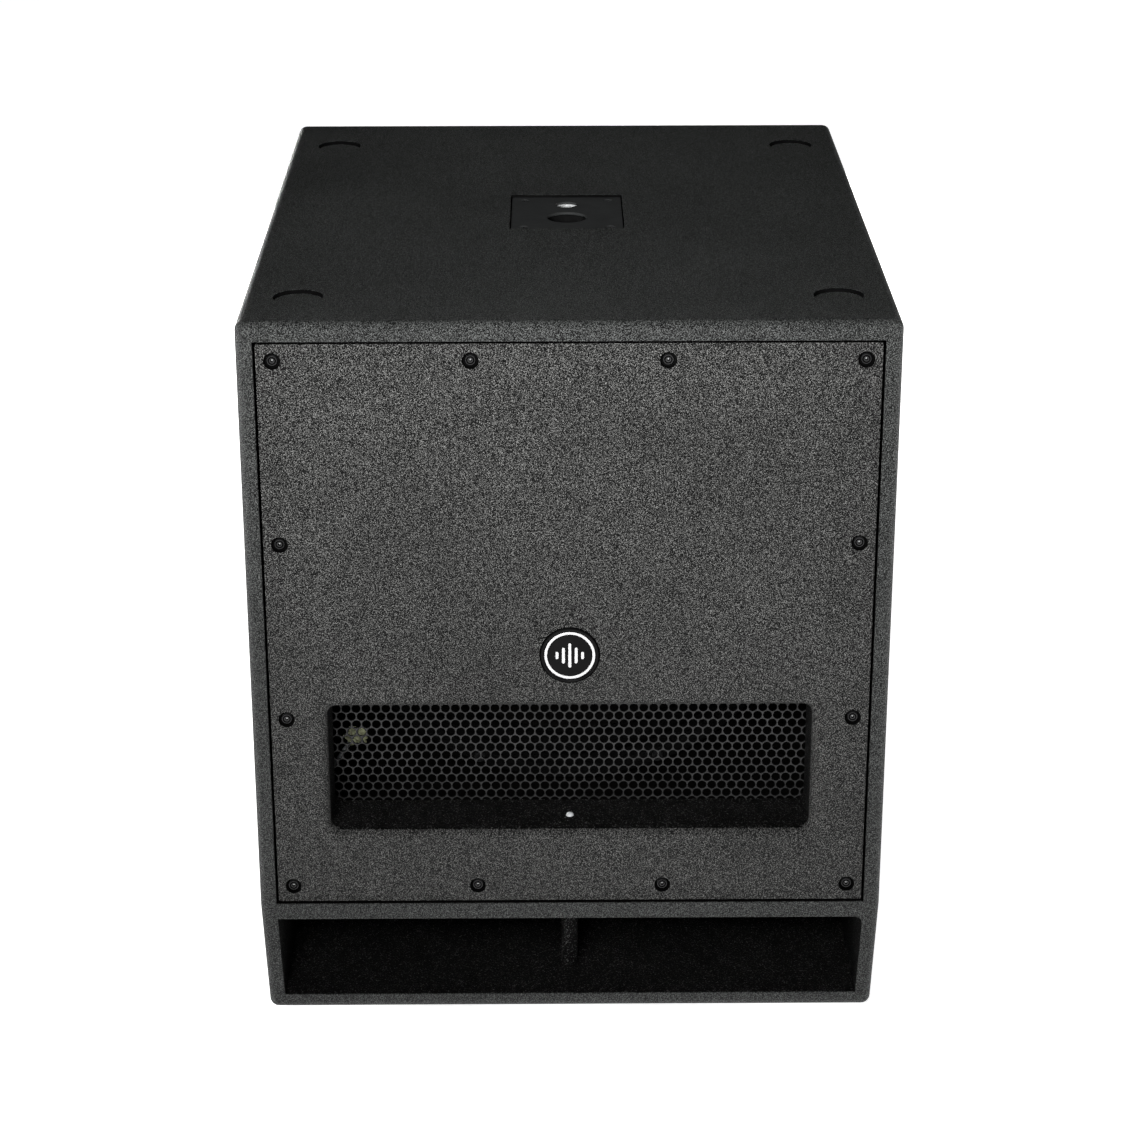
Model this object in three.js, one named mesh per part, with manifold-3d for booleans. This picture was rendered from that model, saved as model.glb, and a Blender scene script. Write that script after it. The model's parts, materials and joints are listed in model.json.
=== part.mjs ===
// A powered band-pass subwoofer cabinet, in millimetres.
// +Z is up and the front faces -Y. The origin is on the floor, under the middle of the cabinet.
import * as THREE from "three";
import { mergeVertices } from "three/addons/utils/BufferGeometryUtils.js";
import Module from "manifold-3d";

const wasm = await Module();
wasm.setup();

// ---------- driving dimensions ----------

const WIDTH = 563;
const DEPTH = 721;
const HEIGHT = 683;
const GAP = 0.3; // left between pieces that touch

// Cabinet boards
const FOOT_HEIGHT = 24;
const BOARD = 15;
const TOP_BOARD = 17;
const SHELF = 16;
const REAR_OVERHANG = 11; // how far the heat sink stands behind the back board
const FRONT = -DEPTH / 2;
const BACK = DEPTH / 2 - REAR_OVERHANG;
const SIDE_OUT = WIDTH / 2;
const SIDE_IN = SIDE_OUT - BOARD;
const FLOOR = FOOT_HEIGHT; // underside of the bottom board
const CEILING = HEIGHT - TOP_BOARD;
const EDGE_RADIUS = 8;
const TAPER_HEIGHT = 105; // the lowest stretch of each side wall leans inwards
const TAPER = 5;

// Port under the shelf
const PORT_HEIGHT = 78;
const SHELF_UNDER = FLOOR + BOARD + PORT_HEIGHT;
const SHELF_TOP = SHELF_UNDER + SHELF;
const SHELF_LENGTH = 560;
const DIVIDER = 15;
const DIVIDER_SETBACK = 51;

// Front panel
const PANEL_RECESS = 1.5;
const PANEL_THICKNESS = 15;
const PANEL_GROOVE = 2;
const PANEL_FRONT = FRONT + PANEL_RECESS;
const PANEL_BACK = PANEL_FRONT + PANEL_THICKNESS;
const PANEL_FRAME_DEPTH = 18;
const PANEL_FRAME_RAIL = 27;

// Panel screws: a square of four by four places, without the middle ones
const SCREW_PITCH = 167;
const SCREW_BOTTOM = 150.5;
const SCREW_CUP_RADIUS = 7;
const SCREW_CUP_DEPTH = 5;
const SCREW_HEAD_RADIUS = 4.4;
const SCREW_SHAFT_RADIUS = 2.5;

// Vent slot, its duct and its grille
const SLOT_HALF = 215;
const SLOT_BOTTOM = 206;
const SLOT_TOP = 328;
const SLOT_RADIUS = 9;
const DUCT_WALL = 13;
const GRILLE_SETBACK = 64;
const GRILLE_THICKNESS = 1.2;
const LED_Y = FRONT + 32;
const LED_RADIUS = 3.5;

// Badge
const BADGE_Z = 378;
const BADGE_RADIUS = 25.5;

// Foot places, used by the feet and by the recesses that take the feet of a stacked cabinet
const FOOT_X = 233;
const FOOT_FRONT_Y = FRONT + 77;
const FOOT_BACK_Y = FRONT + 616;
const FOOT_RADIUS = 20.5;
const FOOT_RECESS_RADIUS = 21.5;
const FOOT_RECESS_DEPTH = 4;

// Pole mount
const POLE_PLATE_X = 105;
const POLE_PLATE_Y = 120;
const POLE_PLATE_THICKNESS = 2.5;
const POLE_PLATE_SINK = 2.5;
const POLE_PLATE_CENTRE_Y = -4.5;
const POLE_Y = -17.5;
const POLE_RADIUS = 18.05;
const POLE_CUP_WALL = 3;
const POLE_CUP_DEPTH = 100;
const THREAD_Y = 29.5;
const THREAD_RADIUS = 10;

// Woofer, with its axis along Y
const BAFFLE_FRONT = FRONT + 190;
const BAFFLE = 18;
const WOOFER_Z = 399.5;
const WOOFER_HOLE_RADIUS = 214;
const CONE_EDGE_RADIUS = 180;
const CONE_EDGE_Y = BAFFLE_FRONT - 3;
const CONE_NECK_Y = BAFFLE_FRONT + 71;
const COIL_RADIUS = 51.2;
const MOTOR_Y = BAFFLE_FRONT + 118.8; // front face of the motor's top plate

// Amplifier
const AMP_HALF = 155;
const AMP_BOTTOM = 190;
const AMP_TOP = 610;
const AMP_PLATE = 3;
const AMP_PLATE_Y = BACK + GAP;
const TRAY_HALF = 125;
const TRAY_BOTTOM = 440;
const TRAY_TOP = 585;
const TRAY_DEPTH = 22;
const TRAY_FLOOR_Y = AMP_PLATE_Y - TRAY_DEPTH; // outer face of the control tray's floor
const FIN_PITCH = 16;
const FIN_COUNT = 17;
const FIN_THICKNESS = 3;
const CHASSIS_HALF = 135.5;
const CHASSIS_BOTTOM = 199.5;
const CHASSIS_TOP = 600.5;
const CHASSIS_FRONT = 215;
const XLR_INPUTS = [[105, 558], [70, 558]];
const XLR_OUTPUTS = [[105, 510], [70, 510]];
const XLR_BARREL_RADIUS = 11.8;
const KNOB = { x: 20, z: 540, radius: 10, height: 14, shaft: 3 };
const CROSSOVER = { x: -26, z: 560, travel: 8 };
const POLARITY = { x: -26, z: 530, travel: 4 };
const SLIDER_HALF = 1.8;
const INLET = { x: -85, z: 552 };
const ROCKER = { x: -85, z: 505, tilt: 8 };

// Side handles
const HANDLE = { y: 0, z: 420, length: 245, height: 125, depth: 60 };

// ---------- solids ----------

function toSolid(geometry) {
  const flat = geometry.index ? geometry.toNonIndexed() : geometry;
  const bare = new THREE.BufferGeometry();
  bare.setAttribute("position", flat.getAttribute("position"));
  const merged = mergeVertices(bare, 1e-3);
  const faces = [];
  const index = merged.index.array;
  for (let i = 0; i < index.length; i += 3) {
    const [a, b, c] = [index[i], index[i + 1], index[i + 2]];
    if (a !== b && b !== c && c !== a) faces.push(a, b, c);
  }
  const build = (triangles) =>
    new wasm.Manifold(
      new wasm.Mesh({
        numProp: 3,
        vertProperties: merged.attributes.position.array,
        triVerts: new Uint32Array(triangles),
      }),
    );
  const solid = build(faces);
  return solid.volume() > 0 ? solid : build(faces.reverse());
}

function toGeometry(solid) {
  const mesh = solid.getMesh();
  const geometry = new THREE.BufferGeometry();
  geometry.setAttribute("position", new THREE.BufferAttribute(new Float32Array(mesh.vertProperties), 3));
  geometry.setIndex(new THREE.BufferAttribute(new Uint32Array(mesh.triVerts), 1));
  geometry.computeVertexNormals();
  return geometry;
}

// The same geometry with its faces pointing out, whichever way its profile ran or it was mirrored.
function facingOut(geometry) {
  return toGeometry(toSolid(geometry));
}

function join(...pieces) {
  return toGeometry(pieces.map(toSolid).reduce((whole, piece) => whole.add(piece)));
}

function cut(base, ...tools) {
  return toGeometry(tools.map(toSolid).reduce((rest, tool) => rest.subtract(tool), toSolid(base)));
}

// A box between two values on each axis.
function block([x0, x1], [y0, y1], [z0, z1]) {
  const box = new THREE.BoxGeometry(x1 - x0, y1 - y0, z1 - z0);
  return box.translate((x0 + x1) / 2, (y0 + y1) / 2, (z0 + z1) / 2);
}

// A disc or rod along Y, at x and z.
function rodY(radius, [y0, y1], x, z, sides = 20) {
  const rod = new THREE.CylinderGeometry(radius, radius, y1 - y0, sides);
  return rod.translate(x, (y0 + y1) / 2, z);
}

// A disc or rod along Z, at x and y.
function rodZ(radius, [z0, z1], x, y, sides = 20) {
  const rod = new THREE.CylinderGeometry(radius, radius, z1 - z0, sides).rotateX(Math.PI / 2);
  return rod.translate(x, y, (z0 + z1) / 2);
}

// A shape drawn in X and Z, made solid from y0 to y1.
function slabY(shape, [y0, y1], curveSegments = 3) {
  const slab = new THREE.ExtrudeGeometry(shape, { depth: y1 - y0, bevelEnabled: false, curveSegments });
  return slab.rotateX(Math.PI / 2).translate(0, y1, 0);
}

// A profile of radius and y, turned about the line along Y at x and z.
function turnedY(profile, x, z, segments = 24) {
  const points = profile.map(([radius, y]) => new THREE.Vector2(radius, y));
  return facingOut(new THREE.LatheGeometry(points, segments).translate(x, 0, z));
}

// A profile of radius and z, turned about the line along Z at x and y.
function turnedZ(profile, x, y, segments = 20) {
  const points = profile.map(([radius, z]) => new THREE.Vector2(radius, z));
  return facingOut(new THREE.LatheGeometry(points, segments).rotateX(Math.PI / 2).translate(x, y, 0));
}

// The closed wall between a line and the same line moved along Y.
function wallProfile(line, thickness) {
  const back = line.map(([radius, y]) => [radius, y + thickness]).reverse();
  return [...line, ...back, line[0]];
}

function outline(points) {
  return new THREE.Shape(points.map(([x, z]) => new THREE.Vector2(x, z)));
}

function roundedRectangle(halfWidth, bottom, top, radius, target = new THREE.Shape()) {
  target.moveTo(halfWidth - radius, bottom);
  target.absarc(halfWidth - radius, bottom + radius, radius, -Math.PI / 2, 0);
  target.absarc(halfWidth - radius, top - radius, radius, 0, Math.PI / 2);
  target.absarc(radius - halfWidth, top - radius, radius, Math.PI / 2, Math.PI);
  target.absarc(radius - halfWidth, bottom + radius, radius, Math.PI, Math.PI * 1.5);
  target.closePath();
  return target;
}

// A round lead along a smooth curve through hand-placed points.
function lead(points, radius, steps) {
  const curve = new THREE.CatmullRomCurve3(points.map((p) => new THREE.Vector3(...p)), false, "centripetal");
  const section = new THREE.Shape().absarc(0, 0, radius, 0, Math.PI * 2);
  return new THREE.ExtrudeGeometry(section, { steps, extrudePath: curve, curveSegments: 4 });
}

// ---------- cabinet boards ----------

// Distance from the middle to a side wall's inner face, at height z.
function innerHalf(z) {
  const below = Math.max(0, FLOOR + TAPER_HEIGHT - z);
  return SIDE_IN - (TAPER * below) / TAPER_HEIGHT;
}

function sideBoard(side) {
  const bend = FLOOR + TAPER_HEIGHT;
  const shape = new THREE.Shape();
  shape.moveTo(SIDE_IN - TAPER, FLOOR);
  shape.lineTo(SIDE_OUT - TAPER - EDGE_RADIUS, FLOOR);
  shape.quadraticCurveTo(SIDE_OUT - TAPER, FLOOR, SIDE_OUT - TAPER + 0.4, FLOOR + EDGE_RADIUS);
  shape.lineTo(SIDE_OUT, bend);
  shape.lineTo(SIDE_OUT, HEIGHT - EDGE_RADIUS);
  shape.absarc(SIDE_OUT - EDGE_RADIUS, HEIGHT - EDGE_RADIUS, EDGE_RADIUS, 0, Math.PI / 2);
  shape.lineTo(SIDE_IN, HEIGHT);
  shape.lineTo(SIDE_IN, bend);
  shape.closePath();
  const halfLength = HANDLE.length / 2;
  const halfHeight = HANDLE.height / 2;
  const rim = 12;
  const rebate = block(
    [SIDE_OUT - 3.5, SIDE_OUT + 5],
    [HANDLE.y - halfLength - 0.5, HANDLE.y + halfLength + 0.5],
    [HANDLE.z - halfHeight - 0.5, HANDLE.z + halfHeight + 0.5],
  );
  const passage = block(
    [SIDE_IN - 5, SIDE_OUT + 5],
    [HANDLE.y - halfLength + rim, HANDLE.y + halfLength - rim],
    [HANDLE.z - halfHeight + rim, HANDLE.z + halfHeight - rim],
  );
  const board = cut(slabY(shape, [FRONT, BACK]), rebate, passage);
  return side > 0 ? board : mirrored(board);
}

function mirrored(geometry) {
  return facingOut(geometry.clone().scale(-1, 1, 1));
}

function topBoard() {
  const half = SIDE_IN - GAP;
  const recesses = [];
  for (const x of [-FOOT_X, FOOT_X]) {
    for (const y of [FOOT_FRONT_Y, FOOT_BACK_Y]) {
      recesses.push(rodZ(FOOT_RECESS_RADIUS, [HEIGHT - FOOT_RECESS_DEPTH, HEIGHT + 5], x, y));
    }
  }
  const plateSeat = HEIGHT - POLE_PLATE_SINK - POLE_PLATE_THICKNESS - GAP;
  const rebate = block(
    [-POLE_PLATE_X / 2 - 0.5, POLE_PLATE_X / 2 + 0.5],
    [POLE_PLATE_CENTRE_Y - POLE_PLATE_Y / 2 - 0.5, POLE_PLATE_CENTRE_Y + POLE_PLATE_Y / 2 + 0.5],
    [plateSeat, HEIGHT + 5],
  );
  const passage = block([-24, 24], [-44, 49], [CEILING - 5, HEIGHT + 5]);
  return cut(block([-half, half], [FRONT, BACK], [CEILING, HEIGHT]), rebate, passage, ...recesses);
}

function bottomBoard() {
  const half = innerHalf(FLOOR) - GAP;
  return block([-half, half], [FRONT, BACK], [FLOOR, FLOOR + BOARD]);
}

function backBoard() {
  const bottom = FLOOR + BOARD + GAP;
  const top = CEILING - GAP;
  const bend = FLOOR + TAPER_HEIGHT;
  const lower = innerHalf(bottom) - GAP;
  const upper = SIDE_IN - GAP;
  const shape = outline([[-lower, bottom], [lower, bottom], [upper, bend], [upper, top], [-upper, top], [-upper, bend]]);
  const passage = block(
    [-CHASSIS_HALF - 0.5, CHASSIS_HALF + 0.5],
    [BACK - BOARD - 5, BACK + 5],
    [CHASSIS_BOTTOM - 0.5, CHASSIS_TOP + 0.5],
  );
  return cut(slabY(shape, [BACK - BOARD, BACK]), passage);
}

function portShelf() {
  const half = innerHalf(SHELF_UNDER) - GAP;
  return block([-half, half], [FRONT, FRONT + SHELF_LENGTH], [SHELF_UNDER, SHELF_TOP]);
}

function portDivider() {
  const nose = FRONT + DIVIDER_SETBACK;
  const tail = FRONT + SHELF_LENGTH;
  const levels = [FLOOR + BOARD + GAP, SHELF_UNDER - GAP];
  const board = block([-DIVIDER / 2, DIVIDER / 2], [nose + DIVIDER / 2, tail], levels);
  return join(board, rodZ(DIVIDER / 2, levels, 0, nose + DIVIDER / 2));
}

function driverBaffle(leadHole) {
  const half = SIDE_IN - GAP;
  const span = [BAFFLE_FRONT, BAFFLE_FRONT + BAFFLE];
  const through = [BAFFLE_FRONT - 5, BAFFLE_FRONT + BAFFLE + 5];
  const board = block([-half, half], span, [SHELF_TOP + GAP, CEILING - GAP]);
  const wooferHole = rodY(WOOFER_HOLE_RADIUS, through, 0, WOOFER_Z, 36);
  return cut(board, wooferHole, rodY(4.5, through, ...leadHole, 12));
}

// ---------- front panel and its fixings ----------

// The places of the panel screws, as x and z, round the edge of the panel.
function panelScrewPlaces() {
  const places = [];
  for (let row = 0; row < 4; row += 1) {
    for (let column = 0; column < 4; column += 1) {
      const onEdge = row % 3 === 0 || column % 3 === 0;
      if (onEdge) places.push([(column - 1.5) * SCREW_PITCH, SCREW_BOTTOM + row * SCREW_PITCH * 0.995]);
    }
  }
  return places;
}

function panelFrame() {
  const half = SIDE_IN - GAP;
  const span = [PANEL_BACK + GAP, PANEL_BACK + GAP + PANEL_FRAME_DEPTH];
  const through = [PANEL_BACK - 5, PANEL_BACK + PANEL_FRAME_DEPTH + 5];
  const inside = [SHELF_TOP + PANEL_FRAME_RAIL, CEILING - PANEL_FRAME_RAIL];
  const board = block([-half, half], span, [SHELF_TOP + GAP, CEILING - GAP]);
  const window = block([PANEL_FRAME_RAIL - half, half - PANEL_FRAME_RAIL], through, inside);
  const pilots = panelScrewPlaces().map(([x, z]) => rodY(2.9, through, x, z, 6));
  return cut(board, window, ...pilots);
}

function frontPanel() {
  const half = SIDE_IN - PANEL_GROOVE;
  const shape = roundedRectangle(half, SHELF_TOP + PANEL_GROOVE, CEILING - PANEL_GROOVE, 1.5);
  shape.holes.push(roundedRectangle(SLOT_HALF, SLOT_BOTTOM, SLOT_TOP, SLOT_RADIUS, new THREE.Path()));
  const cups = [];
  for (const [x, z] of panelScrewPlaces()) {
    cups.push(rodY(SCREW_CUP_RADIUS, [PANEL_FRONT - 5, PANEL_FRONT + SCREW_CUP_DEPTH], x, z, 12));
    cups.push(rodY(2.9, [PANEL_FRONT, PANEL_BACK + 5], x, z, 6));
  }
  const badgeSeat = rodY(BADGE_RADIUS + 0.4, [PANEL_FRONT - 5, PANEL_FRONT + 2], 0, BADGE_Z, 28);
  return cut(slabY(shape, [PANEL_FRONT, PANEL_BACK]), badgeSeat, ...cups);
}

function panelScrew(x, z) {
  const seat = PANEL_FRONT + SCREW_CUP_DEPTH - GAP;
  const face = seat - 3.2;
  const profile = [
    [0, face],
    [SCREW_HEAD_RADIUS - 1, face],
    [SCREW_HEAD_RADIUS, face + 1],
    [SCREW_HEAD_RADIUS, seat],
    [SCREW_SHAFT_RADIUS, seat],
    [SCREW_SHAFT_RADIUS, PANEL_BACK + 16],
    [0, PANEL_BACK + 18],
  ];
  const socket = rodY(2.2, [face - 2, face + 2], x, z, 6);
  return cut(turnedY(profile, x, z, 10), socket);
}

function slotDuct() {
  const outer = roundedRectangle(SLOT_HALF + DUCT_WALL, SLOT_BOTTOM - DUCT_WALL, SLOT_TOP + DUCT_WALL, 4);
  outer.holes.push(roundedRectangle(SLOT_HALF, SLOT_BOTTOM, SLOT_TOP, SLOT_RADIUS, new THREE.Path()));
  const ledHole = rodZ(LED_RADIUS + 0.4, [SLOT_BOTTOM - DUCT_WALL - 5, SLOT_BOTTOM + 5], 0, LED_Y, 16);
  return cut(slabY(outer, [PANEL_BACK + GAP, FRONT + GRILLE_SETBACK - GAP]), ledHole);
}

// A perforated plate with staggered holes.
function slotGrille() {
  const pitch = 36;
  const rowPitch = (pitch * Math.sqrt(3)) / 2;
  const half = SLOT_HALF + DUCT_WALL - 0.5;
  const middle = (SLOT_BOTTOM + SLOT_TOP) / 2;
  const front = FRONT + GRILLE_SETBACK;
  const plate = block(
    [-half, half],
    [front, front + GRILLE_THICKNESS],
    [SLOT_BOTTOM - DUCT_WALL + 0.5, SLOT_TOP + DUCT_WALL - 0.5],
  );
  const holes = [];
  for (let row = -1; row <= 1; row += 1) {
    const columns = row === 0 ? 11 : 10;
    for (let column = 0; column < columns; column += 1) {
      const x = (column - (columns - 1) / 2) * pitch;
      holes.push(rodY(14, [front - 2, front + 4], x, middle + row * rowPitch, 6));
    }
  }
  return cut(plate, ...holes);
}

function badge() {
  const front = FRONT + 0.1;
  const profile = [
    [0, front + 0.9],
    [BADGE_RADIUS - 2.2, front + 0.9],
    [BADGE_RADIUS - 1.6, front],
    [BADGE_RADIUS - 0.6, front],
    [BADGE_RADIUS, front + 0.6],
    [BADGE_RADIUS, PANEL_FRONT + 2 - GAP],
    [0, PANEL_FRONT + 2 - GAP],
  ];
  return turnedY(profile, 0, BADGE_Z, 28);
}

function powerLed() {
  const profile = [
    [0, SLOT_BOTTOM - DUCT_WALL - 3],
    [LED_RADIUS, SLOT_BOTTOM - DUCT_WALL - 3],
    [LED_RADIUS, SLOT_BOTTOM + 0.6],
    [LED_RADIUS * 0.8, SLOT_BOTTOM + 1.7],
    [LED_RADIUS * 0.4, SLOT_BOTTOM + 2.4],
    [0, SLOT_BOTTOM + 2.6],
  ];
  return turnedZ(profile, 0, LED_Y, 16);
}

// ---------- feet, pole mount and handles ----------

function foot(x, y) {
  const top = FOOT_HEIGHT - GAP;
  const profile = [
    [3.5, top],
    [FOOT_RADIUS, top],
    [FOOT_RADIUS - 0.5, 4],
    [FOOT_RADIUS - 3, 0],
    [9, 0],
    [8, 2],
    [8, 14],
    [3.5, 14],
    [3.5, top],
  ];
  return turnedZ(profile, x, y, 18);
}

function polePlate() {
  const top = HEIGHT - POLE_PLATE_SINK;
  const bottom = top - POLE_PLATE_THICKNESS;
  const plate = block(
    [-POLE_PLATE_X / 2, POLE_PLATE_X / 2],
    [POLE_PLATE_CENTRE_Y - POLE_PLATE_Y / 2, POLE_PLATE_CENTRE_Y + POLE_PLATE_Y / 2],
    [bottom, top],
  );
  const through = [bottom - 5, top + 5];
  return cut(plate, rodZ(POLE_RADIUS, through, 0, POLE_Y), rodZ(THREAD_RADIUS + 0.2, through, 0, THREAD_Y));
}

function poleCup() {
  const top = HEIGHT - POLE_PLATE_SINK - POLE_PLATE_THICKNESS - GAP;
  const bottom = top - POLE_CUP_DEPTH;
  const outer = POLE_RADIUS + POLE_CUP_WALL;
  const profile = [
    [0, bottom - POLE_CUP_WALL],
    [outer, bottom - POLE_CUP_WALL],
    [outer, top],
    [POLE_RADIUS, top],
    [POLE_RADIUS, bottom],
    [0, bottom],
  ];
  return turnedZ(profile, 0, POLE_Y);
}

function threadInsert() {
  const top = HEIGHT - POLE_PLATE_SINK - POLE_PLATE_THICKNESS - GAP;
  const profile = [
    [THREAD_RADIUS - 1.2, top - 30],
    [THREAD_RADIUS + 5, top - 30],
    [THREAD_RADIUS + 5, top],
    [THREAD_RADIUS, top],
    [THREAD_RADIUS - 1.2, top - 1.2],
    [THREAD_RADIUS - 1.2, top - 30],
  ];
  return turnedZ(profile, 0, THREAD_Y);
}

// A recessed cup with a grip bar across the upper part of its mouth.
function handle(side) {
  const halfLength = HANDLE.length / 2;
  const halfHeight = HANDLE.height / 2;
  const face = SIDE_OUT - 0.2;
  const wall = 3;
  const rim = 12.5;
  const low = [HANDLE.y - halfLength + rim, HANDLE.z - halfHeight + rim];
  const high = [HANDLE.y + halfLength - rim, HANDLE.z + halfHeight - rim];
  const flange = block(
    [face - wall, face],
    [HANDLE.y - halfLength, HANDLE.y + halfLength],
    [HANDLE.z - halfHeight, HANDLE.z + halfHeight],
  );
  const cup = block([face - HANDLE.depth, face - wall / 2], [low[0], high[0]], [low[1], high[1]]);
  const hollow = block(
    [face - HANDLE.depth + wall, face - wall],
    [low[0] + wall, high[0] - wall],
    [low[1] + wall, high[1] - wall],
  );
  const mouth = block([face - wall - 1, face + 5], [low[0] + 8, high[0] - 8], [low[1] + 8, HANDLE.z + 14]);
  const bar = rodY(11, [low[0] + 1, high[0] - 1], face - 11.2, HANDLE.z + 24.5, 16);
  const shell = join(cut(join(flange, cup), hollow, mouth), bar);
  return side > 0 ? shell : mirrored(shell);
}

// ---------- woofer ----------

function wooferBasket() {
  const y = (setback) => BAFFLE_FRONT + setback;
  const profile = [
    [197, y(-2.2)],
    [216, y(-2.2)],
    [216, y(-8.3)],
    [230, y(-8.3)],
    [230, y(-0.3)],
    [211, y(-0.3)],
    [207, y(30)],
    [104, y(106)],
    [104, y(118.3)],
    [62, y(118.3)],
    [62, y(113)],
    [98, y(113)],
    [98, y(104)],
    [201, y(28)],
    [203, y(2)],
    [197, y(2)],
    [197, y(-2.2)],
  ];
  const windows = [];
  for (let i = 0; i < 6; i += 1) {
    const window = block([110, 192], [y(8), y(112)], [-40, 40]);
    windows.push(window.rotateY((i * Math.PI) / 3).translate(0, 0, WOOFER_Z));
  }
  return cut(turnedY(profile, 0, WOOFER_Z, 30), ...windows);
}

// The half-roll edge that carries the cone on the basket's ledge.
function coneSurround() {
  const flat = CONE_EDGE_Y - 0.7;
  const roll = 11;
  const middle = 194;
  const line = [[CONE_EDGE_RADIUS + 0.5, flat]];
  for (let i = 0; i <= 4; i += 1) {
    const angle = Math.PI - (i * Math.PI) / 4;
    line.push([middle + roll * Math.cos(angle), flat - roll * Math.sin(angle)]);
  }
  line.push([215, flat]);
  return turnedY(wallProfile(line, 1.2), 0, WOOFER_Z, 30);
}

function cone() {
  const line = [[COIL_RADIUS + 0.4, CONE_NECK_Y - 1.5], [110, CONE_NECK_Y - 31], [CONE_EDGE_RADIUS, CONE_EDGE_Y]];
  return turnedY(wallProfile(line, 1.5), 0, WOOFER_Z, 30);
}

function dustCap() {
  const radius = 60;
  const rim = CONE_NECK_Y - 7.5;
  const height = 20;
  const line = [];
  for (let i = 0; i <= 4; i += 1) {
    const share = i / 4;
    line.push([radius * (1 - share), rim - height * (1 - (1 - share) ** 2)]);
  }
  const inside = line.map(([r, y]) => [r, y + 1]).reverse();
  return turnedY([...line, ...inside, line[0]], 0, WOOFER_Z);
}

function spider() {
  const middle = CONE_NECK_Y + 19;
  const line = [];
  const steps = 7;
  for (let i = 0; i <= steps; i += 1) {
    const swing = i === 0 || i === steps ? 0 : 2.5 * (-1) ** i;
    line.push([COIL_RADIUS + 1.5 + (i * 59) / steps, middle + swing]);
  }
  return turnedY(wallProfile(line, 1), 0, WOOFER_Z, 20);
}

function voiceCoil() {
  const front = CONE_NECK_Y - 1;
  const back = MOTOR_Y + 22;
  const inner = COIL_RADIUS - 2;
  const profile = [[inner, front], [COIL_RADIUS, front], [COIL_RADIUS, back], [inner, back], [inner, front]];
  return turnedY(profile, 0, WOOFER_Z);
}

function topPlate() {
  const profile = [
    [COIL_RADIUS + 1.3, MOTOR_Y],
    [90, MOTOR_Y],
    [90, MOTOR_Y + 10],
    [COIL_RADIUS + 1.3, MOTOR_Y + 10],
    [COIL_RADIUS + 1.3, MOTOR_Y],
  ];
  return turnedY(profile, 0, WOOFER_Z);
}

function magnet() {
  const front = MOTOR_Y + 10 + GAP;
  const back = MOTOR_Y + 35;
  const profile = [[62, front], [110, front], [110, back], [62, back], [62, front]];
  return turnedY(profile, 0, WOOFER_Z);
}

// The back plate and the pole that stands through the magnet, with the vent down its middle.
function backPlate() {
  const face = MOTOR_Y + 35 + GAP;
  const profile = [
    [15, MOTOR_Y],
    [48, MOTOR_Y],
    [48, face],
    [105, face],
    [105, face + 10],
    [15, face + 10],
    [15, MOTOR_Y],
  ];
  return turnedY(profile, 0, WOOFER_Z);
}

// ---------- amplifier ----------

const TRAY_THROUGH = [TRAY_FLOOR_Y - AMP_PLATE - 5, TRAY_FLOOR_Y + 5];

function sliderSlot({ x, z, travel }) {
  return block([x - SLIDER_HALF - 0.4, x + travel + SLIDER_HALF + 0.4], TRAY_THROUGH, [z - 1.9, z + 1.9]);
}

function ampPanel() {
  const plate = block([-AMP_HALF, AMP_HALF], [AMP_PLATE_Y, AMP_PLATE_Y + AMP_PLATE], [AMP_BOTTOM, AMP_TOP]);
  const tray = block(
    [-TRAY_HALF - 3, TRAY_HALF + 3],
    [TRAY_FLOOR_Y - AMP_PLATE, AMP_PLATE_Y + 1],
    [TRAY_BOTTOM - 3, TRAY_TOP + 3],
  );
  const hollow = block([-TRAY_HALF, TRAY_HALF], [TRAY_FLOOR_Y, AMP_PLATE_Y + 10], [TRAY_BOTTOM, TRAY_TOP]);
  const fins = [];
  for (let i = 0; i < FIN_COUNT; i += 1) {
    const x = (i - (FIN_COUNT - 1) / 2) * FIN_PITCH;
    fins.push(block([x - FIN_THICKNESS / 2, x + FIN_THICKNESS / 2], [AMP_PLATE_Y + 1, DEPTH / 2], [205, 425]));
  }
  const holes = [...XLR_INPUTS, ...XLR_OUTPUTS].map(([x, z]) => rodY(XLR_BARREL_RADIUS + 0.3, TRAY_THROUGH, x, z));
  XLR_INPUTS.forEach(([x, z]) => holes.push(block([x - 4.5, x + 4.5], TRAY_THROUGH, [z + 9, z + 14.3])));
  holes.push(rodY(KNOB.shaft + 0.6, TRAY_THROUGH, KNOB.x, KNOB.z, 12));
  holes.push(sliderSlot(CROSSOVER), sliderSlot(POLARITY));
  holes.push(block([INLET.x - 14.3, INLET.x + 14.3], TRAY_THROUGH, [INLET.z - 10.3, INLET.z + 10.3]));
  holes.push(block([ROCKER.x - 7, ROCKER.x + 7], TRAY_THROUGH, [ROCKER.z - 12.5, ROCKER.z + 12.5]));
  return cut(join(plate, tray, ...fins), hollow, ...holes);
}

function ampChassis() {
  const back = AMP_PLATE_Y - 0.4;
  const sheet = 2;
  const box = block([-CHASSIS_HALF, CHASSIS_HALF], [CHASSIS_FRONT, back], [CHASSIS_BOTTOM, CHASSIS_TOP]);
  const hollow = block(
    [sheet - CHASSIS_HALF, CHASSIS_HALF - sheet],
    [CHASSIS_FRONT + sheet, back + 5],
    [CHASSIS_BOTTOM + sheet, CHASSIS_TOP - sheet],
  );
  return cut(box, hollow);
}

// The board with its transformer, two reservoir capacitors and output choke.
function circuitBoard() {
  const face = 300;
  const board = block([-120, 120], [face, face + 1.6], [215, 430]);
  const transformer = block([-100, -30], [face - 45, face + 0.5], [240, 305]);
  const capacitors = [40, 80].map((x) => rodY(15, [face - 48, face + 0.5], x, 270, 16));
  const choke = rodY(20, [face - 26, face + 0.5], 60, 360, 16);
  return join(board, transformer, ...capacitors, choke);
}

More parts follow.
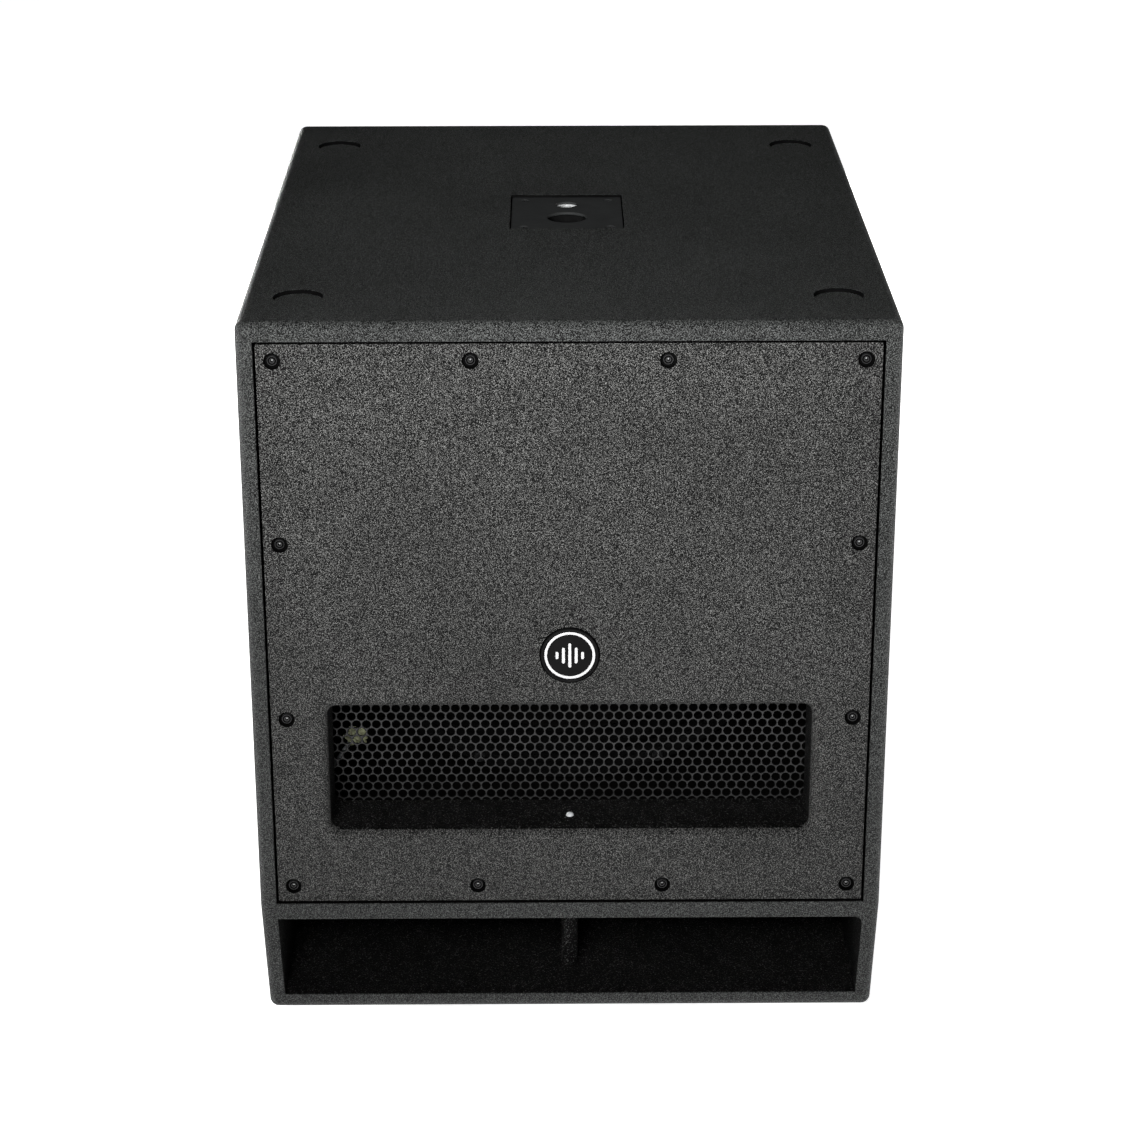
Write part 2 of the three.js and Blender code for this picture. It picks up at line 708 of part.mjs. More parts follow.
// The flange and barrel that all signal sockets share, with their front face at `face`.
function socketBody(x, z, face) {
  const flange = block([x - 13, x + 13], [TRAY_FLOOR_Y + GAP, TRAY_FLOOR_Y + 2.2], [z - 15.5, z + 15.5]);
  const barrel = rodY(XLR_BARREL_RADIUS, [TRAY_FLOOR_Y - 16, face], x, z);
  return join(flange, barrel);
}

function xlrInput(x, z) {
  const face = TRAY_FLOOR_Y + 3.5;
  const ring = cut(rodY(9.6, [face - 12, face + 2], x, z), rodY(8.2, [face - 14, face + 4], x, z));
  const pins = [90, 210, 330].map((degrees) => {
    const angle = (degrees * Math.PI) / 180;
    return rodY(1.5, [face - 9, face + 2], x + 4.5 * Math.cos(angle), z - 4.5 * Math.sin(angle), 8);
  });
  const latchWay = block([x - 4.2, x + 4.2], [face - 25, face + 5], [z + 10.2, z + 14]);
  return cut(socketBody(x, z, face), ring, latchWay, ...pins);
}

function xlrOutput(x, z) {
  const face = TRAY_FLOOR_Y + 3.5;
  return cut(socketBody(x, z, face), rodY(9.6, [face - 14, face + 2], x, z));
}

function latchTab(x, z) {
  const face = TRAY_FLOOR_Y + 3.5;
  return block([x - 3.8, x + 3.8], [face - 14, face + 3.5], [z + 10.6, z + 13.6]);
}

function mainsInlet() {
  const { x, z } = INLET;
  const flange = block([x - 25, x + 25], [TRAY_FLOOR_Y + GAP, TRAY_FLOOR_Y + 3], [z - 13, z + 13]);
  const body = block([x - 14, x + 14], [TRAY_FLOOR_Y - 20, TRAY_FLOOR_Y + 3], [z - 10, z + 10]);
  const cavity = block([x - 12, x + 12], [TRAY_FLOOR_Y - 13, TRAY_FLOOR_Y + 8], [z - 8, z + 8]);
  return cut(join(flange, body), cavity);
}

// A shallow V seen from the side, resting with its lower half pressed in.
function powerRocker() {
  const { x, z, tilt } = ROCKER;
  const section = outline([[-10.4, 4.4], [0, 2.2], [10.4, 4.4], [10.4, -1], [4, -8], [-4, -8], [-10.4, -1]]);
  const depth = 12.4;
  const rocker = new THREE.ExtrudeGeometry(section, { depth, bevelEnabled: false });
  rocker.translate(0, 0, -depth / 2);
  rocker.rotateY(Math.PI / 2).rotateX((-tilt * Math.PI) / 180);
  return facingOut(rocker.translate(x, TRAY_FLOOR_Y, z));
}

function levelKnob() {
  const base = TRAY_FLOOR_Y + 0.6;
  const top = base + KNOB.height;
  const profile = [
    [0, TRAY_FLOOR_Y - 9],
    [KNOB.shaft, TRAY_FLOOR_Y - 9],
    [KNOB.shaft, base],
    [KNOB.radius, base],
    [KNOB.radius - 0.8, top - 1],
    [KNOB.radius - 1.8, top],
    [0, top],
  ];
  const pointer = block([KNOB.x - 0.6, KNOB.x + 0.6], [top - 1, top + 2], [KNOB.z + 2, KNOB.z + 12]);
  return cut(turnedY(profile, KNOB.x, KNOB.z), pointer);
}

function slider({ x, z }) {
  return block([x - SLIDER_HALF, x + SLIDER_HALF], [TRAY_FLOOR_Y - 6, TRAY_FLOOR_Y + 3.6], [z - 1.5, z + 1.5]);
}

// ---------- leads ----------

const LEAD_HOLE = [-205, 214];

// From the indicator, under the duct, up the baffle and through it, and back to the amplifier.
function ledLead() {
  const points = [
    [0, LED_Y, 189.6],
    [0, LED_Y, 181],
    [-20, -326, 173],
    [-70, -318, 170],
    [-130, -312, 169],
    [-185, -304, 168],
    [-220, -286, 168],
    [-238, -250, 170],
    [-238, -212, 174],
    [-230, -186, 181],
    [-220, -175, 191],
    [-210, -174.5, 206],
    [-205.5, -173, 212.5],
    [-205, -166, 214],
    [-205, -146, 214],
    [-203, -110, 210],
    [-190, -40, 196],
    [-150, 60, 190],
    [-115, 140, 200],
    [-101, 185, 220],
    [-100, 200, 222],
    [-100, CHASSIS_FRONT - 0.5, 222],
  ];
  return lead(points, 2.1, 60);
}

// From the amplifier chassis to the woofer's basket.
function speakerCable() {
  const points = [
    [60, CHASSIS_FRONT - 0.5, 240],
    [60, 200, 240],
    [63, 175, 240],
    [88, 110, 246],
    [125, 40, 262],
    [150, -30, 285],
    [148, -72, 309],
    [130, -92, 324],
  ];
  return lead(points, 4, 24);
}

// ---------- assembly ----------

const cabinet = new THREE.Group();

function add(name, geometry, { color, roughness, metalness = 0 }) {
  const mesh = new THREE.Mesh(geometry, new THREE.MeshStandardMaterial({ color, roughness, metalness }));
  mesh.name = name;
  cabinet.add(mesh);
}

const coatedWood = { color: 0x2e2f2e, roughness: 0.75 };
const bareWood = { color: 0x9a7a52, roughness: 0.8 };
const blackSteel = { color: 0x161716, roughness: 0.45, metalness: 0.6 };
const zincSteel = { color: 0xa8abad, roughness: 0.3, metalness: 1 };
const castMetal = { color: 0x1b1c1c, roughness: 0.55, metalness: 0.5 };
const blackPlastic = { color: 0x121212, roughness: 0.5 };
const rubber = { color: 0x0f0f0f, roughness: 0.9 };
const paper = { color: 0x1a1a19, roughness: 0.85 };
const ferrite = { color: 0x2b2b2d, roughness: 0.6 };
const copper = { color: 0x8a5a33, roughness: 0.4, metalness: 0.8 };
const greenBoard = { color: 0x1d4a2b, roughness: 0.5 };
const clearLens = { color: 0xf2f4f6, roughness: 0.1 };
const greyJacket = { color: 0x6a6c6e, roughness: 0.6 };

add("top_board", topBoard(), coatedWood);
add("bottom_board", bottomBoard(), coatedWood);
add("left_side", sideBoard(-1), coatedWood);
add("right_side", sideBoard(1), coatedWood);
add("back_board", backBoard(), coatedWood);
add("port_shelf", portShelf(), coatedWood);
add("port_divider", portDivider(), coatedWood);
add("driver_baffle", driverBaffle(LEAD_HOLE), bareWood);
add("panel_frame", panelFrame(), bareWood);
add("front_panel", frontPanel(), coatedWood);
add("slot_duct", slotDuct(), coatedWood);
add("slot_grille", slotGrille(), blackSteel);
add("badge", badge(), blackPlastic);
add("power_led", powerLed(), clearLens);
panelScrewPlaces().forEach(([x, z], i) => {
  add(`panel_screw_${String(i + 1).padStart(2, "0")}`, panelScrew(x, z), blackSteel);
});

for (const [side, x] of [["left", -FOOT_X], ["right", FOOT_X]]) {
  add(`foot_front_${side}`, foot(x, FOOT_FRONT_Y), rubber);
  add(`foot_back_${side}`, foot(x, FOOT_BACK_Y), rubber);
}
add("pole_plate", polePlate(), blackSteel);
add("pole_cup", poleCup(), blackSteel);
add("thread_insert", threadInsert(), zincSteel);
add("left_handle", handle(-1), castMetal);
add("right_handle", handle(1), castMetal);

add("woofer_basket", wooferBasket(), castMetal);
add("cone_surround", coneSurround(), rubber);
add("cone", cone(), paper);
add("dust_cap", dustCap(), paper);
add("spider", spider(), paper);
add("voice_coil", voiceCoil(), copper);
add("top_plate", topPlate(), zincSteel);
add("magnet", magnet(), ferrite);
add("back_plate", backPlate(), zincSteel);

add("amp_panel", ampPanel(), castMetal);
add("amp_chassis", ampChassis(), zincSteel);
add("circuit_board", circuitBoard(), greenBoard);
XLR_INPUTS.forEach(([x, z], i) => {
  add(`xlr_input_${i + 1}`, xlrInput(x, z), blackSteel);
  add(`latch_tab_${i + 1}`, latchTab(x, z), zincSteel);
});
XLR_OUTPUTS.forEach(([x, z], i) => {
  add(`xlr_output_${i + 1}`, xlrOutput(x, z), blackSteel);
});
add("mains_inlet", mainsInlet(), blackPlastic);
add("power_rocker", powerRocker(), blackPlastic);
add("level_knob", levelKnob(), blackPlastic);
add("crossover_slider", slider(CROSSOVER), blackPlastic);
add("polarity_slider", slider(POLARITY), blackPlastic);
add("led_lead", ledLead(), greyJacket);
add("speaker_cable", speakerCable(), blackPlastic);

export default cabinet;
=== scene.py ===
"""The looks of a powered band-pass subwoofer cabinet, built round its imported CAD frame."""

import json
from math import atan2, cos, hypot, pi, radians, sin, sqrt, tau

import bmesh
import bpy
from mathutils import Matrix, Vector


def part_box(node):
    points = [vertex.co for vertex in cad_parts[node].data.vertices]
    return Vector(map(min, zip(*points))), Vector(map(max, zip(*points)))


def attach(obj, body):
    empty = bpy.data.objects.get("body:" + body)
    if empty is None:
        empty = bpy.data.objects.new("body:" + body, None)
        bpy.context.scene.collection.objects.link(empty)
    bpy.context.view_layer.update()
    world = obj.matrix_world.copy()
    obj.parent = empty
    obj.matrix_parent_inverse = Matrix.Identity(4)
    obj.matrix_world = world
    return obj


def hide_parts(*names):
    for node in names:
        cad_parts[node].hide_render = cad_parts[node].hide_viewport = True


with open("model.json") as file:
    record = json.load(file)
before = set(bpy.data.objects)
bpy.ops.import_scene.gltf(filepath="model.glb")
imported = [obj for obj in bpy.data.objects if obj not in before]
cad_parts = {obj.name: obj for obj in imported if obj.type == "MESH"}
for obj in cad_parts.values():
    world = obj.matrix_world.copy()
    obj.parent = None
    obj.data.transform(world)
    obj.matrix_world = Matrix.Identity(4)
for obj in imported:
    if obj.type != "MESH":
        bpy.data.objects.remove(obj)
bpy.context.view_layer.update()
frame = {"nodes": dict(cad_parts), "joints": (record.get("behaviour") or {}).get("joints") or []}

# ---------- places and sizes, in millimetres, from the frame ----------


def corners(node):
    """Lowest and highest corner of a CAD node, in millimetres."""
    low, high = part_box(node)
    return low * 1000, high * 1000


def middle(node):
    low, high = corners(node)
    return (low + high) / 2


RIGHT_LOW, RIGHT_HIGH = corners("right_side")
HALF = RIGHT_HIGH.x
FRONT, BACK = RIGHT_LOW.y, RIGHT_HIGH.y
BOTTOM, TOP = RIGHT_LOW.z, RIGHT_HIGH.z
BOARD = 15
INNER = HALF - BOARD
BACK_INSIDE = BACK - BOARD
TAPER = 5
TAPER_TOP = BOTTOM + 105
EDGE = 8
CEILING = corners("top_board")[0].z
SHELF_LOW, SHELF_HIGH = corners("port_shelf")
PORT = (BOTTOM + BOARD, SHELF_LOW.z)
PANEL_LOW, PANEL_HIGH = corners("front_panel")
GRILLE_LOW, GRILLE_HIGH = corners("slot_grille")
SLOT_HALF, SLOT_BOTTOM, SLOT_TOP, SLOT_RADIUS = 215, 206, 328, 9
LIP = 7.5
BADGE = middle("badge")
PLATE_LOW, PLATE_HIGH = corners("pole_plate")
PLATE = middle("pole_plate")
CUP = middle("pole_cup")
THREAD = middle("thread_insert")
POLE_RADIUS = 18.05
THREAD_RADIUS, THREAD_PITCH = 10, 2.5
RECESS_RADIUS, RECESS_DEPTH = 21.5, 4
AMP_LOW, AMP_HIGH = corners("amp_panel")
AMP_FACE = BACK + 3.3
TRAY_FLOOR = BACK + 0.3 - 22
TRAY_HALF, TRAY_BOTTOM, TRAY_TOP = 125, 440, 585
WOOFER = middle("woofer_basket")
BAFFLE_FRONT = corners("driver_baffle")[0].y
COIL_RADIUS = 51.2
SCREWS = [f"panel_screw_{i:02d}" for i in range(1, 13)]
FEET = ("foot_front_left", "foot_front_right", "foot_back_left", "foot_back_right")
HANDLES = {"left_handle": -1, "right_handle": 1}
AMP_CUTOUT = (-136, 136), (199, 601)

# ---------- outlines and meshes ----------


def about(centre, reach):
    return centre - reach, centre + reach


def around(centre, radius, angle):
    return centre[0] + radius * cos(angle), centre[1] + radius * sin(angle)


def circle(centre, radius, steps):
    return [around(centre, radius, tau * i / steps) for i in range(steps)]


def dome(radius, rise, angles, base=0):
    """Points of a dome's profile, at angles in degrees from its rim."""
    return [(radius * cos(radians(a)), base + rise * sin(radians(a))) for a in angles]


def rounded(x, z, radius, steps=8, grow=0):
    """The outline of a rectangle with round corners, between two values on each axis."""
    left, right, low, high = x[0] - grow, x[1] + grow, z[0] - grow, z[1] + grow
    centres = [
        (right - radius, low + radius), (right - radius, high - radius),
        (left + radius, high - radius), (left + radius, low + radius),
    ]
    return [
        around(centre, radius, radians(-90 + 90 * corner + 90 * i / steps))
        for corner, centre in enumerate(centres) for i in range(steps + 1)
    ]


def facing(low, high, radius, steps=8):
    """The outline, seen along Y, of the box between two corners."""
    return rounded((low.x, high.x), (low.z, high.z), radius, steps)


def linked(name, data):
    """An object that holds some data, in the scene."""
    made = bpy.data.objects.new(name, data)
    bpy.context.scene.collection.objects.link(made)
    return made


def to_object(name, bm):
    """An object from a bmesh in millimetres."""
    bmesh.ops.recalc_face_normals(bm, faces=bm.faces[:])
    bm.transform(Matrix.Scale(0.001, 4))
    mesh = bpy.data.meshes.new(name)
    bm.to_mesh(mesh)
    bm.free()
    return linked(name, mesh)


def evaluated_mesh(source):
    graph = bpy.context.evaluated_depsgraph_get()
    copy = source.evaluated_get(graph)
    return bpy.data.meshes.new_from_object(copy, preserve_all_data_layers=True, depsgraph=graph)


def apply_modifiers(piece):
    mesh, spare = evaluated_mesh(piece), piece.data
    piece.modifiers.clear()
    piece.data = mesh
    mesh.name = piece.name
    bpy.data.meshes.remove(spare)
    return piece


def cut(piece, *tools, operation="DIFFERENCE"):
    """Takes each tool away from a piece, one after the other."""
    for tool_bm in tools:
        tool = to_object("tool", tool_bm)
        step = piece.modifiers.new("boolean", "BOOLEAN")
        step.operation = operation
        step.solver = "EXACT"
        step.object = tool
        apply_modifiers(piece)
        spare = tool.data
        bpy.data.objects.remove(tool)
        bpy.data.meshes.remove(spare)
    return piece


def join(piece, *tools):
    return cut(piece, *tools, operation="UNION")


def soften(piece, width, segments=3, angle=35):
    """Rounds every sharp edge and keeps the wide faces flat in the shading."""
    piece.data.shade_smooth()
    rounding = piece.modifiers.new("rounding", "BEVEL")
    rounding.width = width / 1000
    rounding.segments = segments
    rounding.limit_method = "ANGLE"
    rounding.angle_limit = radians(angle)
    rounding.use_clamp_overlap = False
    piece.modifiers.new("normals", "WEIGHTED_NORMAL")
    return apply_modifiers(piece)


def merged(*parts):
    """One bmesh holding several."""
    whole = bmesh.new()
    for part in parts:
        mesh = bpy.data.meshes.new("part")
        part.to_mesh(mesh)
        part.free()
        whole.from_mesh(mesh)
        bpy.data.meshes.remove(mesh)
    return whole


def block(x, y, z):
    """A box between two values on each axis."""
    bm = bmesh.new()
    size = Matrix.Diagonal((x[1] - x[0], y[1] - y[0], z[1] - z[0], 1))
    place = Matrix.Translation((sum(x) / 2, sum(y) / 2, sum(z) / 2))
    bmesh.ops.create_cube(bm, size=1, matrix=place @ size)
    return bm


def skin(loops):
    """A solid between loops of points that have the same count."""
    bm = bmesh.new()
    rings = [[bm.verts.new(point) for point in loop] for loop in loops]
    count = len(rings[0])
    for low, high in zip(rings, rings[1:]):
        for i in range(count):
            j = (i + 1) % count
            bm.faces.new((low[i], low[j], high[j], high[i]))
    bm.faces.new(rings[0])
    bm.faces.new(rings[-1][::-1])
    return bm


def prism(outline, y0, y1):
    """A flat outline of x and z, made solid from y0 to y1."""
    return skin([[(x, y, z) for x, z in outline] for y in (y0, y1)])


def slab(outline, z0, z1):
    """A flat outline of x and y, made solid from z0 to z1."""
    return skin([[(x, y, z) for x, y in outline] for z in (z0, z1)])


def across(outline, side, x0, x1):
    """An outline of y and z, made solid between two distances from the middle."""
    return skin([[(side * x, y, z) for y, z in outline] for x in (x0, x1)])


def turned(profile, centre, segments=64, base=0.0, axis="Y"):
    """A profile of radius and distance from base, turned about the axis."""
    bm = bmesh.new()
    closed = profile[0] == profile[-1]
    rings = []
    for radius, along in profile[:-1] if closed else profile:
        ring = []
        for i in range(segments if radius > 1e-6 else 1):
            a, b = around(centre, radius, tau * i / segments)
            ring.append(bm.verts.new((a, base + along, b) if axis == "Y" else (a, b, base + along)))
        rings.append(ring)
    pairs = list(zip(rings, rings[1:]))
    if closed:
        pairs.append((rings[-1], rings[0]))
    for low, high in pairs:
        for i in range(segments):
            j = (i + 1) % segments
            quad = [low[i % len(low)], low[j % len(low)], high[j % len(high)], high[i % len(high)]]
            unique = list(dict.fromkeys(quad))
            if len(unique) > 2:
                bm.faces.new(unique)
    if not closed:
        for ring in (rings[0], rings[-1]):
            if len(ring) > 1:
                bm.faces.new(ring)
    return bm


def rod(radius, y0, y1, x, z, segments=48):
    return turned([(radius, y0), (radius, y1)], (x, z), segments)


def tube(name, points, radius):
    """A round lead along a smooth line through points."""
    curve = bpy.data.curves.new(name, "CURVE")
    curve.dimensions = "3D"
    curve.bevel_depth = radius / 1000
    curve.bevel_resolution = 5
    curve.use_fill_caps = True
    curve.resolution_u = 10
    spline = curve.splines.new("BEZIER")
    spline.bezier_points.add(len(points) - 1)
    for knot, point in zip(spline.bezier_points, points):
        knot.co = Vector(point) / 1000
        knot.handle_left_type = "AUTO"
        knot.handle_right_type = "AUTO"
    source = linked(name + "_line", curve)
    mesh = evaluated_mesh(source)
    bpy.data.objects.remove(source)
    bpy.data.curves.remove(curve)
    return linked(name, mesh)


def finish_piece(piece, material, slot, *replaced, body="cabinet", sharp=38):
    """Gives a piece its material and its body, and smooth shading with its sharp edges kept."""
    piece.data.materials.clear()
    piece.data.materials.append(material)
    if sharp:
        piece.data.shade_smooth()
        piece.data.set_sharp_from_angle(angle=radians(sharp))
    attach(piece, body)
    if replaced:
        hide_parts(*replaced)
    return piece


def make(name, bm, material, slot, *replaced, **options):
    """A finished piece straight from its bmesh."""
    return finish_piece(to_object(name, bm), material, slot, *replaced, **options)


def make_soft(name, bm, width, segments, angle, material, slot, *replaced, **options):
    """A finished piece with its edges rounded."""
    piece = soften(to_object(name, bm), width, segments, angle)
    return finish_piece(piece, material, slot, *replaced, sharp=None, **options)


def second_material(piece, material, inside):
    """Gives the faces that pass a test of their middle, in millimetres, and normal another material."""
    piece.data.materials.append(material)
    for face in piece.data.polygons:
        if inside(face.center * 1000, face.normal):
            face.material_index = len(piece.data.materials) - 1


# ---------- materials ----------


def node(tree, kind, props=None, **inputs):
    """A shader node with its properties set and its inputs set or linked, by name or by i and number."""
    made = tree.nodes.new("ShaderNode" + kind)
    for key, value in (props or {}).items():
        setattr(made, key, value)
    for key, value in inputs.items():
        socket = made.inputs[int(key[1:]) if key[1:].isdigit() else key.replace("_", " ")]
        if isinstance(value, bpy.types.NodeSocket):
            tree.links.new(value, socket)
        else:
            socket.default_value = value
    return made


def new_material(name):
    """A material, its empty node tree and the object's own coordinates."""
    material = bpy.data.materials.new(name)
    material.use_nodes = True
    tree = material.node_tree
    tree.nodes.clear()
    return material, tree, node(tree, "TexCoord").outputs["Object"]


def surface(material, shine=0.5, relief=None, **inputs):
    """Ends a material with its shader. Relief is a height, a strength and a distance in millimetres."""
    tree = material.node_tree
    if relief:
        height, strength, distance = relief
        bump = node(tree, "Bump", Strength=strength, Distance=distance / 1000, Height=height)
        inputs["Normal"] = bump.outputs["Normal"]
    shader = node(tree, "BsdfPrincipled", Specular_IOR_Level=shine, **inputs)
    node(tree, "OutputMaterial", Surface=shader.outputs["BSDF"])
    return material


def noise(tree, place, size_mm, detail=2.0, roughness=0.5):
    """Noise whose features are about size_mm across."""
    made = node(tree, "TexNoise", Vector=place, Scale=1000 / size_mm, Detail=detail, Roughness=roughness)
    return made.outputs["Fac"]


def spread(tree, value, low, high, to_low, to_high):
    inputs = {"Value": value, "From_Min": low, "From_Max": high, "To_Min": to_low, "To_Max": to_high}
    return node(tree, "MapRange", **inputs).outputs["Result"]


def blend_colours(tree, factor, a, b):
    return node(tree, "Mix", {"data_type": "RGBA"}, Factor=factor, i6=(*a, 1), i7=(*b, 1)).outputs[2]


def math_node(tree, operation, *values):
    inputs = {f"i{i}": value for i, value in enumerate(values)}
    return node(tree, "Math", {"operation": operation}, **inputs).outputs[0]


def stretched(tree, place, scale):
    return node(tree, "Mapping", Vector=place, Scale=scale).outputs["Vector"]


def sprayed_coat(name, grain, base, painted_crest_highlight, relief_mm, gloss, shine, reach):
    """A sprayed black coat: pebbles of grain millimetres whose crests are lightened as a painted highlight,
    over slow drifts of tone.
    """
    material, tree, place = new_material(name)
    lumps = noise(tree, place, grain, 1.0, 0.55)
    cells = node(tree, "TexVoronoi", {"feature": "SMOOTH_F1"}, Vector=place, Scale=1000 / (grain * 1.1))
    pebbles = spread(tree, cells.outputs["Distance"], 0.0, 0.75, 1.0, 0.0)
    height = math_node(tree, "MULTIPLY_ADD", pebbles, 0.45, lumps)
    # lighter colour on the pebble crests is a painted highlight in place of glints
    tone = blend_colours(tree, spread(tree, height, *reach, 0.0, 1.0), base, painted_crest_highlight)
    drift = spread(tree, noise(tree, place, 160, 4.0, 0.6), 0.3, 0.7, 0.86, 1.14)
    colour = node(tree, "VectorMath", {"operation": "SCALE"}, i0=tone, Scale=drift).outputs["Vector"]
    roughness = spread(tree, height, *reach, gloss + 0.2, gloss)
    return surface(material, shine, (height, 1.0, relief_mm), Base_Color=colour, Roughness=roughness)


def hard_surface(
    name, base, roughness, metallic=0.0, grain=0.6, bump=0.12, vary=0.25, coat=0.0, scratch=0.0, shine=0.5
):
    """Painted, plated or moulded material: a fine skin, patchy gloss and a slight drift of colour."""
    material, tree, place = new_material(name)
    patches = noise(tree, place, 22, 4.0, 0.6)
    height = noise(tree, place, grain, 2.0, 0.6)
    dark = [c * (1 - vary) for c in base]
    light = [min(1.0, c * (1 + vary)) for c in base]
    colour = blend_colours(tree, spread(tree, patches, 0.35, 0.65, 0.0, 1.0), dark, light)
    gloss = spread(tree, patches, 0.3, 0.7, roughness * 0.85, min(1.0, roughness * 1.2))
    if scratch:
        brushed = noise(tree, stretched(tree, place, (1, 14, 1)), 3)
        height = math_node(tree, "MULTIPLY_ADD", brushed, scratch, height)
    inputs = {"Base_Color": colour, "Roughness": gloss, "Metallic": metallic, "Coat_Weight": coat}
    return surface(material, shine, (height, bump, 0.2), **inputs)


def plywood(name, base, dark):
    """Birch ply with long grain, under a thin spray of black."""
    material, tree, place = new_material(name)
    rings = noise(tree, stretched(tree, place, (0.06, 1, 1)), 6, 5.0, 0.65)
    colour = blend_colours(tree, spread(tree, rings, 0.3, 0.7, 0, 1), dark, base)
    return surface(material, 0.1, (rings, 0.3, 0.4), Base_Color=colour, Roughness=0.8)


def woven(name, base, thread, shine=0.5):
    """Cotton or paper felt: crossed threads about thread millimetres apart."""
    material, tree, place = new_material(name)
    threads = []
    for way in "XZ":
        inputs = {"Vector": place, "Scale": 320 / thread, "Distortion": 1.0}
        threads.append(node(tree, "TexWave", {"bands_direction": way}, **inputs).outputs["Fac"])
    fibres = noise(tree, place, thread * 4, 4.0, 0.7)
    mask = math_node(tree, "MULTIPLY", math_node(tree, "MULTIPLY", *threads), fibres)
    colour = blend_colours(tree, mask, base, [min(1.0, c * 1.7) for c in base])
    return surface(material, shine, (mask, 0.4, 0.4), Base_Color=colour, Roughness=0.85)


def glowing_lens(name, base, strength):
    material, tree, place = new_material(name)
    colour = (*base, 1)
    cloud = spread(tree, noise(tree, place, 1.2), 0.3, 0.7, 0.1, 0.3)
    inputs = {"Base_Color": colour, "Emission_Color": colour, "Emission_Strength": strength}
    return surface(material, Roughness=cloud, **inputs)


def grey(level):
    return level, level, level


# In each coat the colour after the base is for the pebble crests, a painted highlight.
SHELL_COAT = sprayed_coat(
    "shell_coat", 0.8, (0.0010, 0.0011, 0.0011), (0.104, 0.108, 0.105), 1.2, 0.46, 0.3, (0.62, 1.00)
)
# A copy of the coat with sparser light crests and less shine, painted shade for the inner faces of the port,
# the slot and the cabinet.
SHADED_INNER_COAT = sprayed_coat("shaded_inner_coat", 1.2, grey(0.0012), (0.130, 0.130, 0.127), 1.2, 0.55, 0.16, (0.8, 1.1))
PANEL_COAT = sprayed_coat("panel_coat", 0.8, grey(0.001), (0.190, 0.190, 0.184), 1.6, 0.4, 0.25, (0.66, 1.05))
PLYWOOD = plywood("plywood", (0.0026, 0.0024, 0.0022), (0.0014, 0.0013, 0.0012))
GRILLE_PAINT = hard_surface("grille_paint", grey(0.002), 0.55, shine=0.05, bump=0.05)
# A lighter, shinier copy of the grille paint, a painted highlight for the flat webs round the holes.
GRILLE_WEB_HIGHLIGHT = hard_surface("grille_web_highlight", grey(0.024), 0.34, shine=0.3, bump=0.05)
BADGE_GLOSS = hard_surface("badge_gloss", grey(0.004), 0.14, bump=0.02, shine=0.07)
BADGE_WHITE = hard_surface("badge_white", grey(0.46), 0.35, bump=0.03, vary=0.04)
LED_LENS = glowing_lens("led_lens", (0.42, 0.43, 0.44), 0.08)
LAMP_COLOURS = {
    "green": glowing_lens("lamp_green", (0.10, 0.50, 0.16), 0.4),
    "amber": glowing_lens("lamp_amber", (0.60, 0.28, 0.04), 0.05),
    "red": glowing_lens("lamp_red", (0.55, 0.04, 0.03), 0.05),
}
SCREW_BLACK = hard_surface("screw_black", (0.045, 0.045, 0.046), 0.36, 0.75)
# Near-black with almost no shine: painted shade for recesses, cups, gaps and hollows.
PAINTED_SHADE_BLACK = hard_surface("painted_shade_black", grey(0.002), 0.75, grain=1.2, bump=0.3, shine=0.04)
RUBBER = hard_surface("rubber", grey(0.016), 0.82, grain=0.9, bump=0.25)
PLATE_PAINT = hard_surface("plate_paint", (0.020, 0.021, 0.021), 0.5, 0.1, grain=0.9, bump=0.08, vary=0.1)
ZINC = hard_surface("zinc", (0.62, 0.63, 0.63), 0.24, 1.0, bump=0.08, vary=0.12)
# Zinc plating made partly diffuse light grey, so the thread shows bright without a lamp to reflect: plating
# with a painted sheen.
PLATING_WITH_PAINTED_SHEEN = hard_surface("plating_with_painted_sheen", (0.50, 0.51, 0.51), 0.30, 0.35, bump=0.08, vary=0.12)
HANDLE_PLASTIC = hard_surface("handle_plastic", (0.012, 0.012, 0.0125), 0.58, grain=0.8, bump=0.35)
CAST_BLACK = hard_surface("cast_black", (0.009, 0.009, 0.0095), 0.5, 0.1, grain=0.7, bump=0.3, shine=0.35)
FRAME_BLACK = hard_surface("frame_black", grey(0.004), 0.6, grain=0.7, bump=0.3, shine=0.06)
CONE_PAPER = woven("cone_paper", (0.0040, 0.0038, 0.0036), 1.4, 0.06)
SURROUND_CLOTH = woven("surround_cloth", grey(0.0030), 0.9, 0.06)
SPIDER_CLOTH = woven("spider_cloth", (0.34, 0.23, 0.09), 0.8)
COPPER = hard_surface("copper", (0.56, 0.28, 0.14), 0.3, 1.0)
FERRITE = hard_surface("ferrite", (0.05, 0.05, 0.053), 0.55, grain=1.5, bump=0.3)
GALVANISED = hard_surface("galvanised", (0.50, 0.51, 0.52), 0.38, 1.0, vary=0.3, scratch=0.4)
CIRCUIT_GREEN = hard_surface("circuit_green", (0.02, 0.12, 0.05), 0.35, vary=0.4)
SOCKET_BLACK = hard_surface("socket_black", (0.022, 0.022, 0.023), 0.3, 0.6)
NICKEL = hard_surface("nickel", (0.60, 0.59, 0.56), 0.22, 1.0, scratch=0.2)
CONTROL_PLASTIC = hard_surface("control_plastic", (0.016, 0.016, 0.017), 0.4, grain=0.5, bump=0.15)
PRINT_WHITE = hard_surface("print_white", (0.62, 0.62, 0.61), 0.6, vary=0.08)
LEAD_GREY = hard_surface("lead_grey", (0.62, 0.63, 0.64), 0.45)
CABLE_BLACK = hard_surface("cable_black", (0.018, 0.018, 0.019), 0.5)
SEALANT = hard_surface("sealant", (0.54, 0.56, 0.35), 0.2, grain=3, bump=0.5, vary=0.15, coat=0.4)

# materials that many pieces share, each with its slot
SCREW = (SCREW_BLACK, "screw_black")
PLASTIC = (CONTROL_PLASTIC, "control_plastic")
PRINT = (PRINT_WHITE, "control_plastic")
MARK = (BADGE_WHITE, "badge_black")

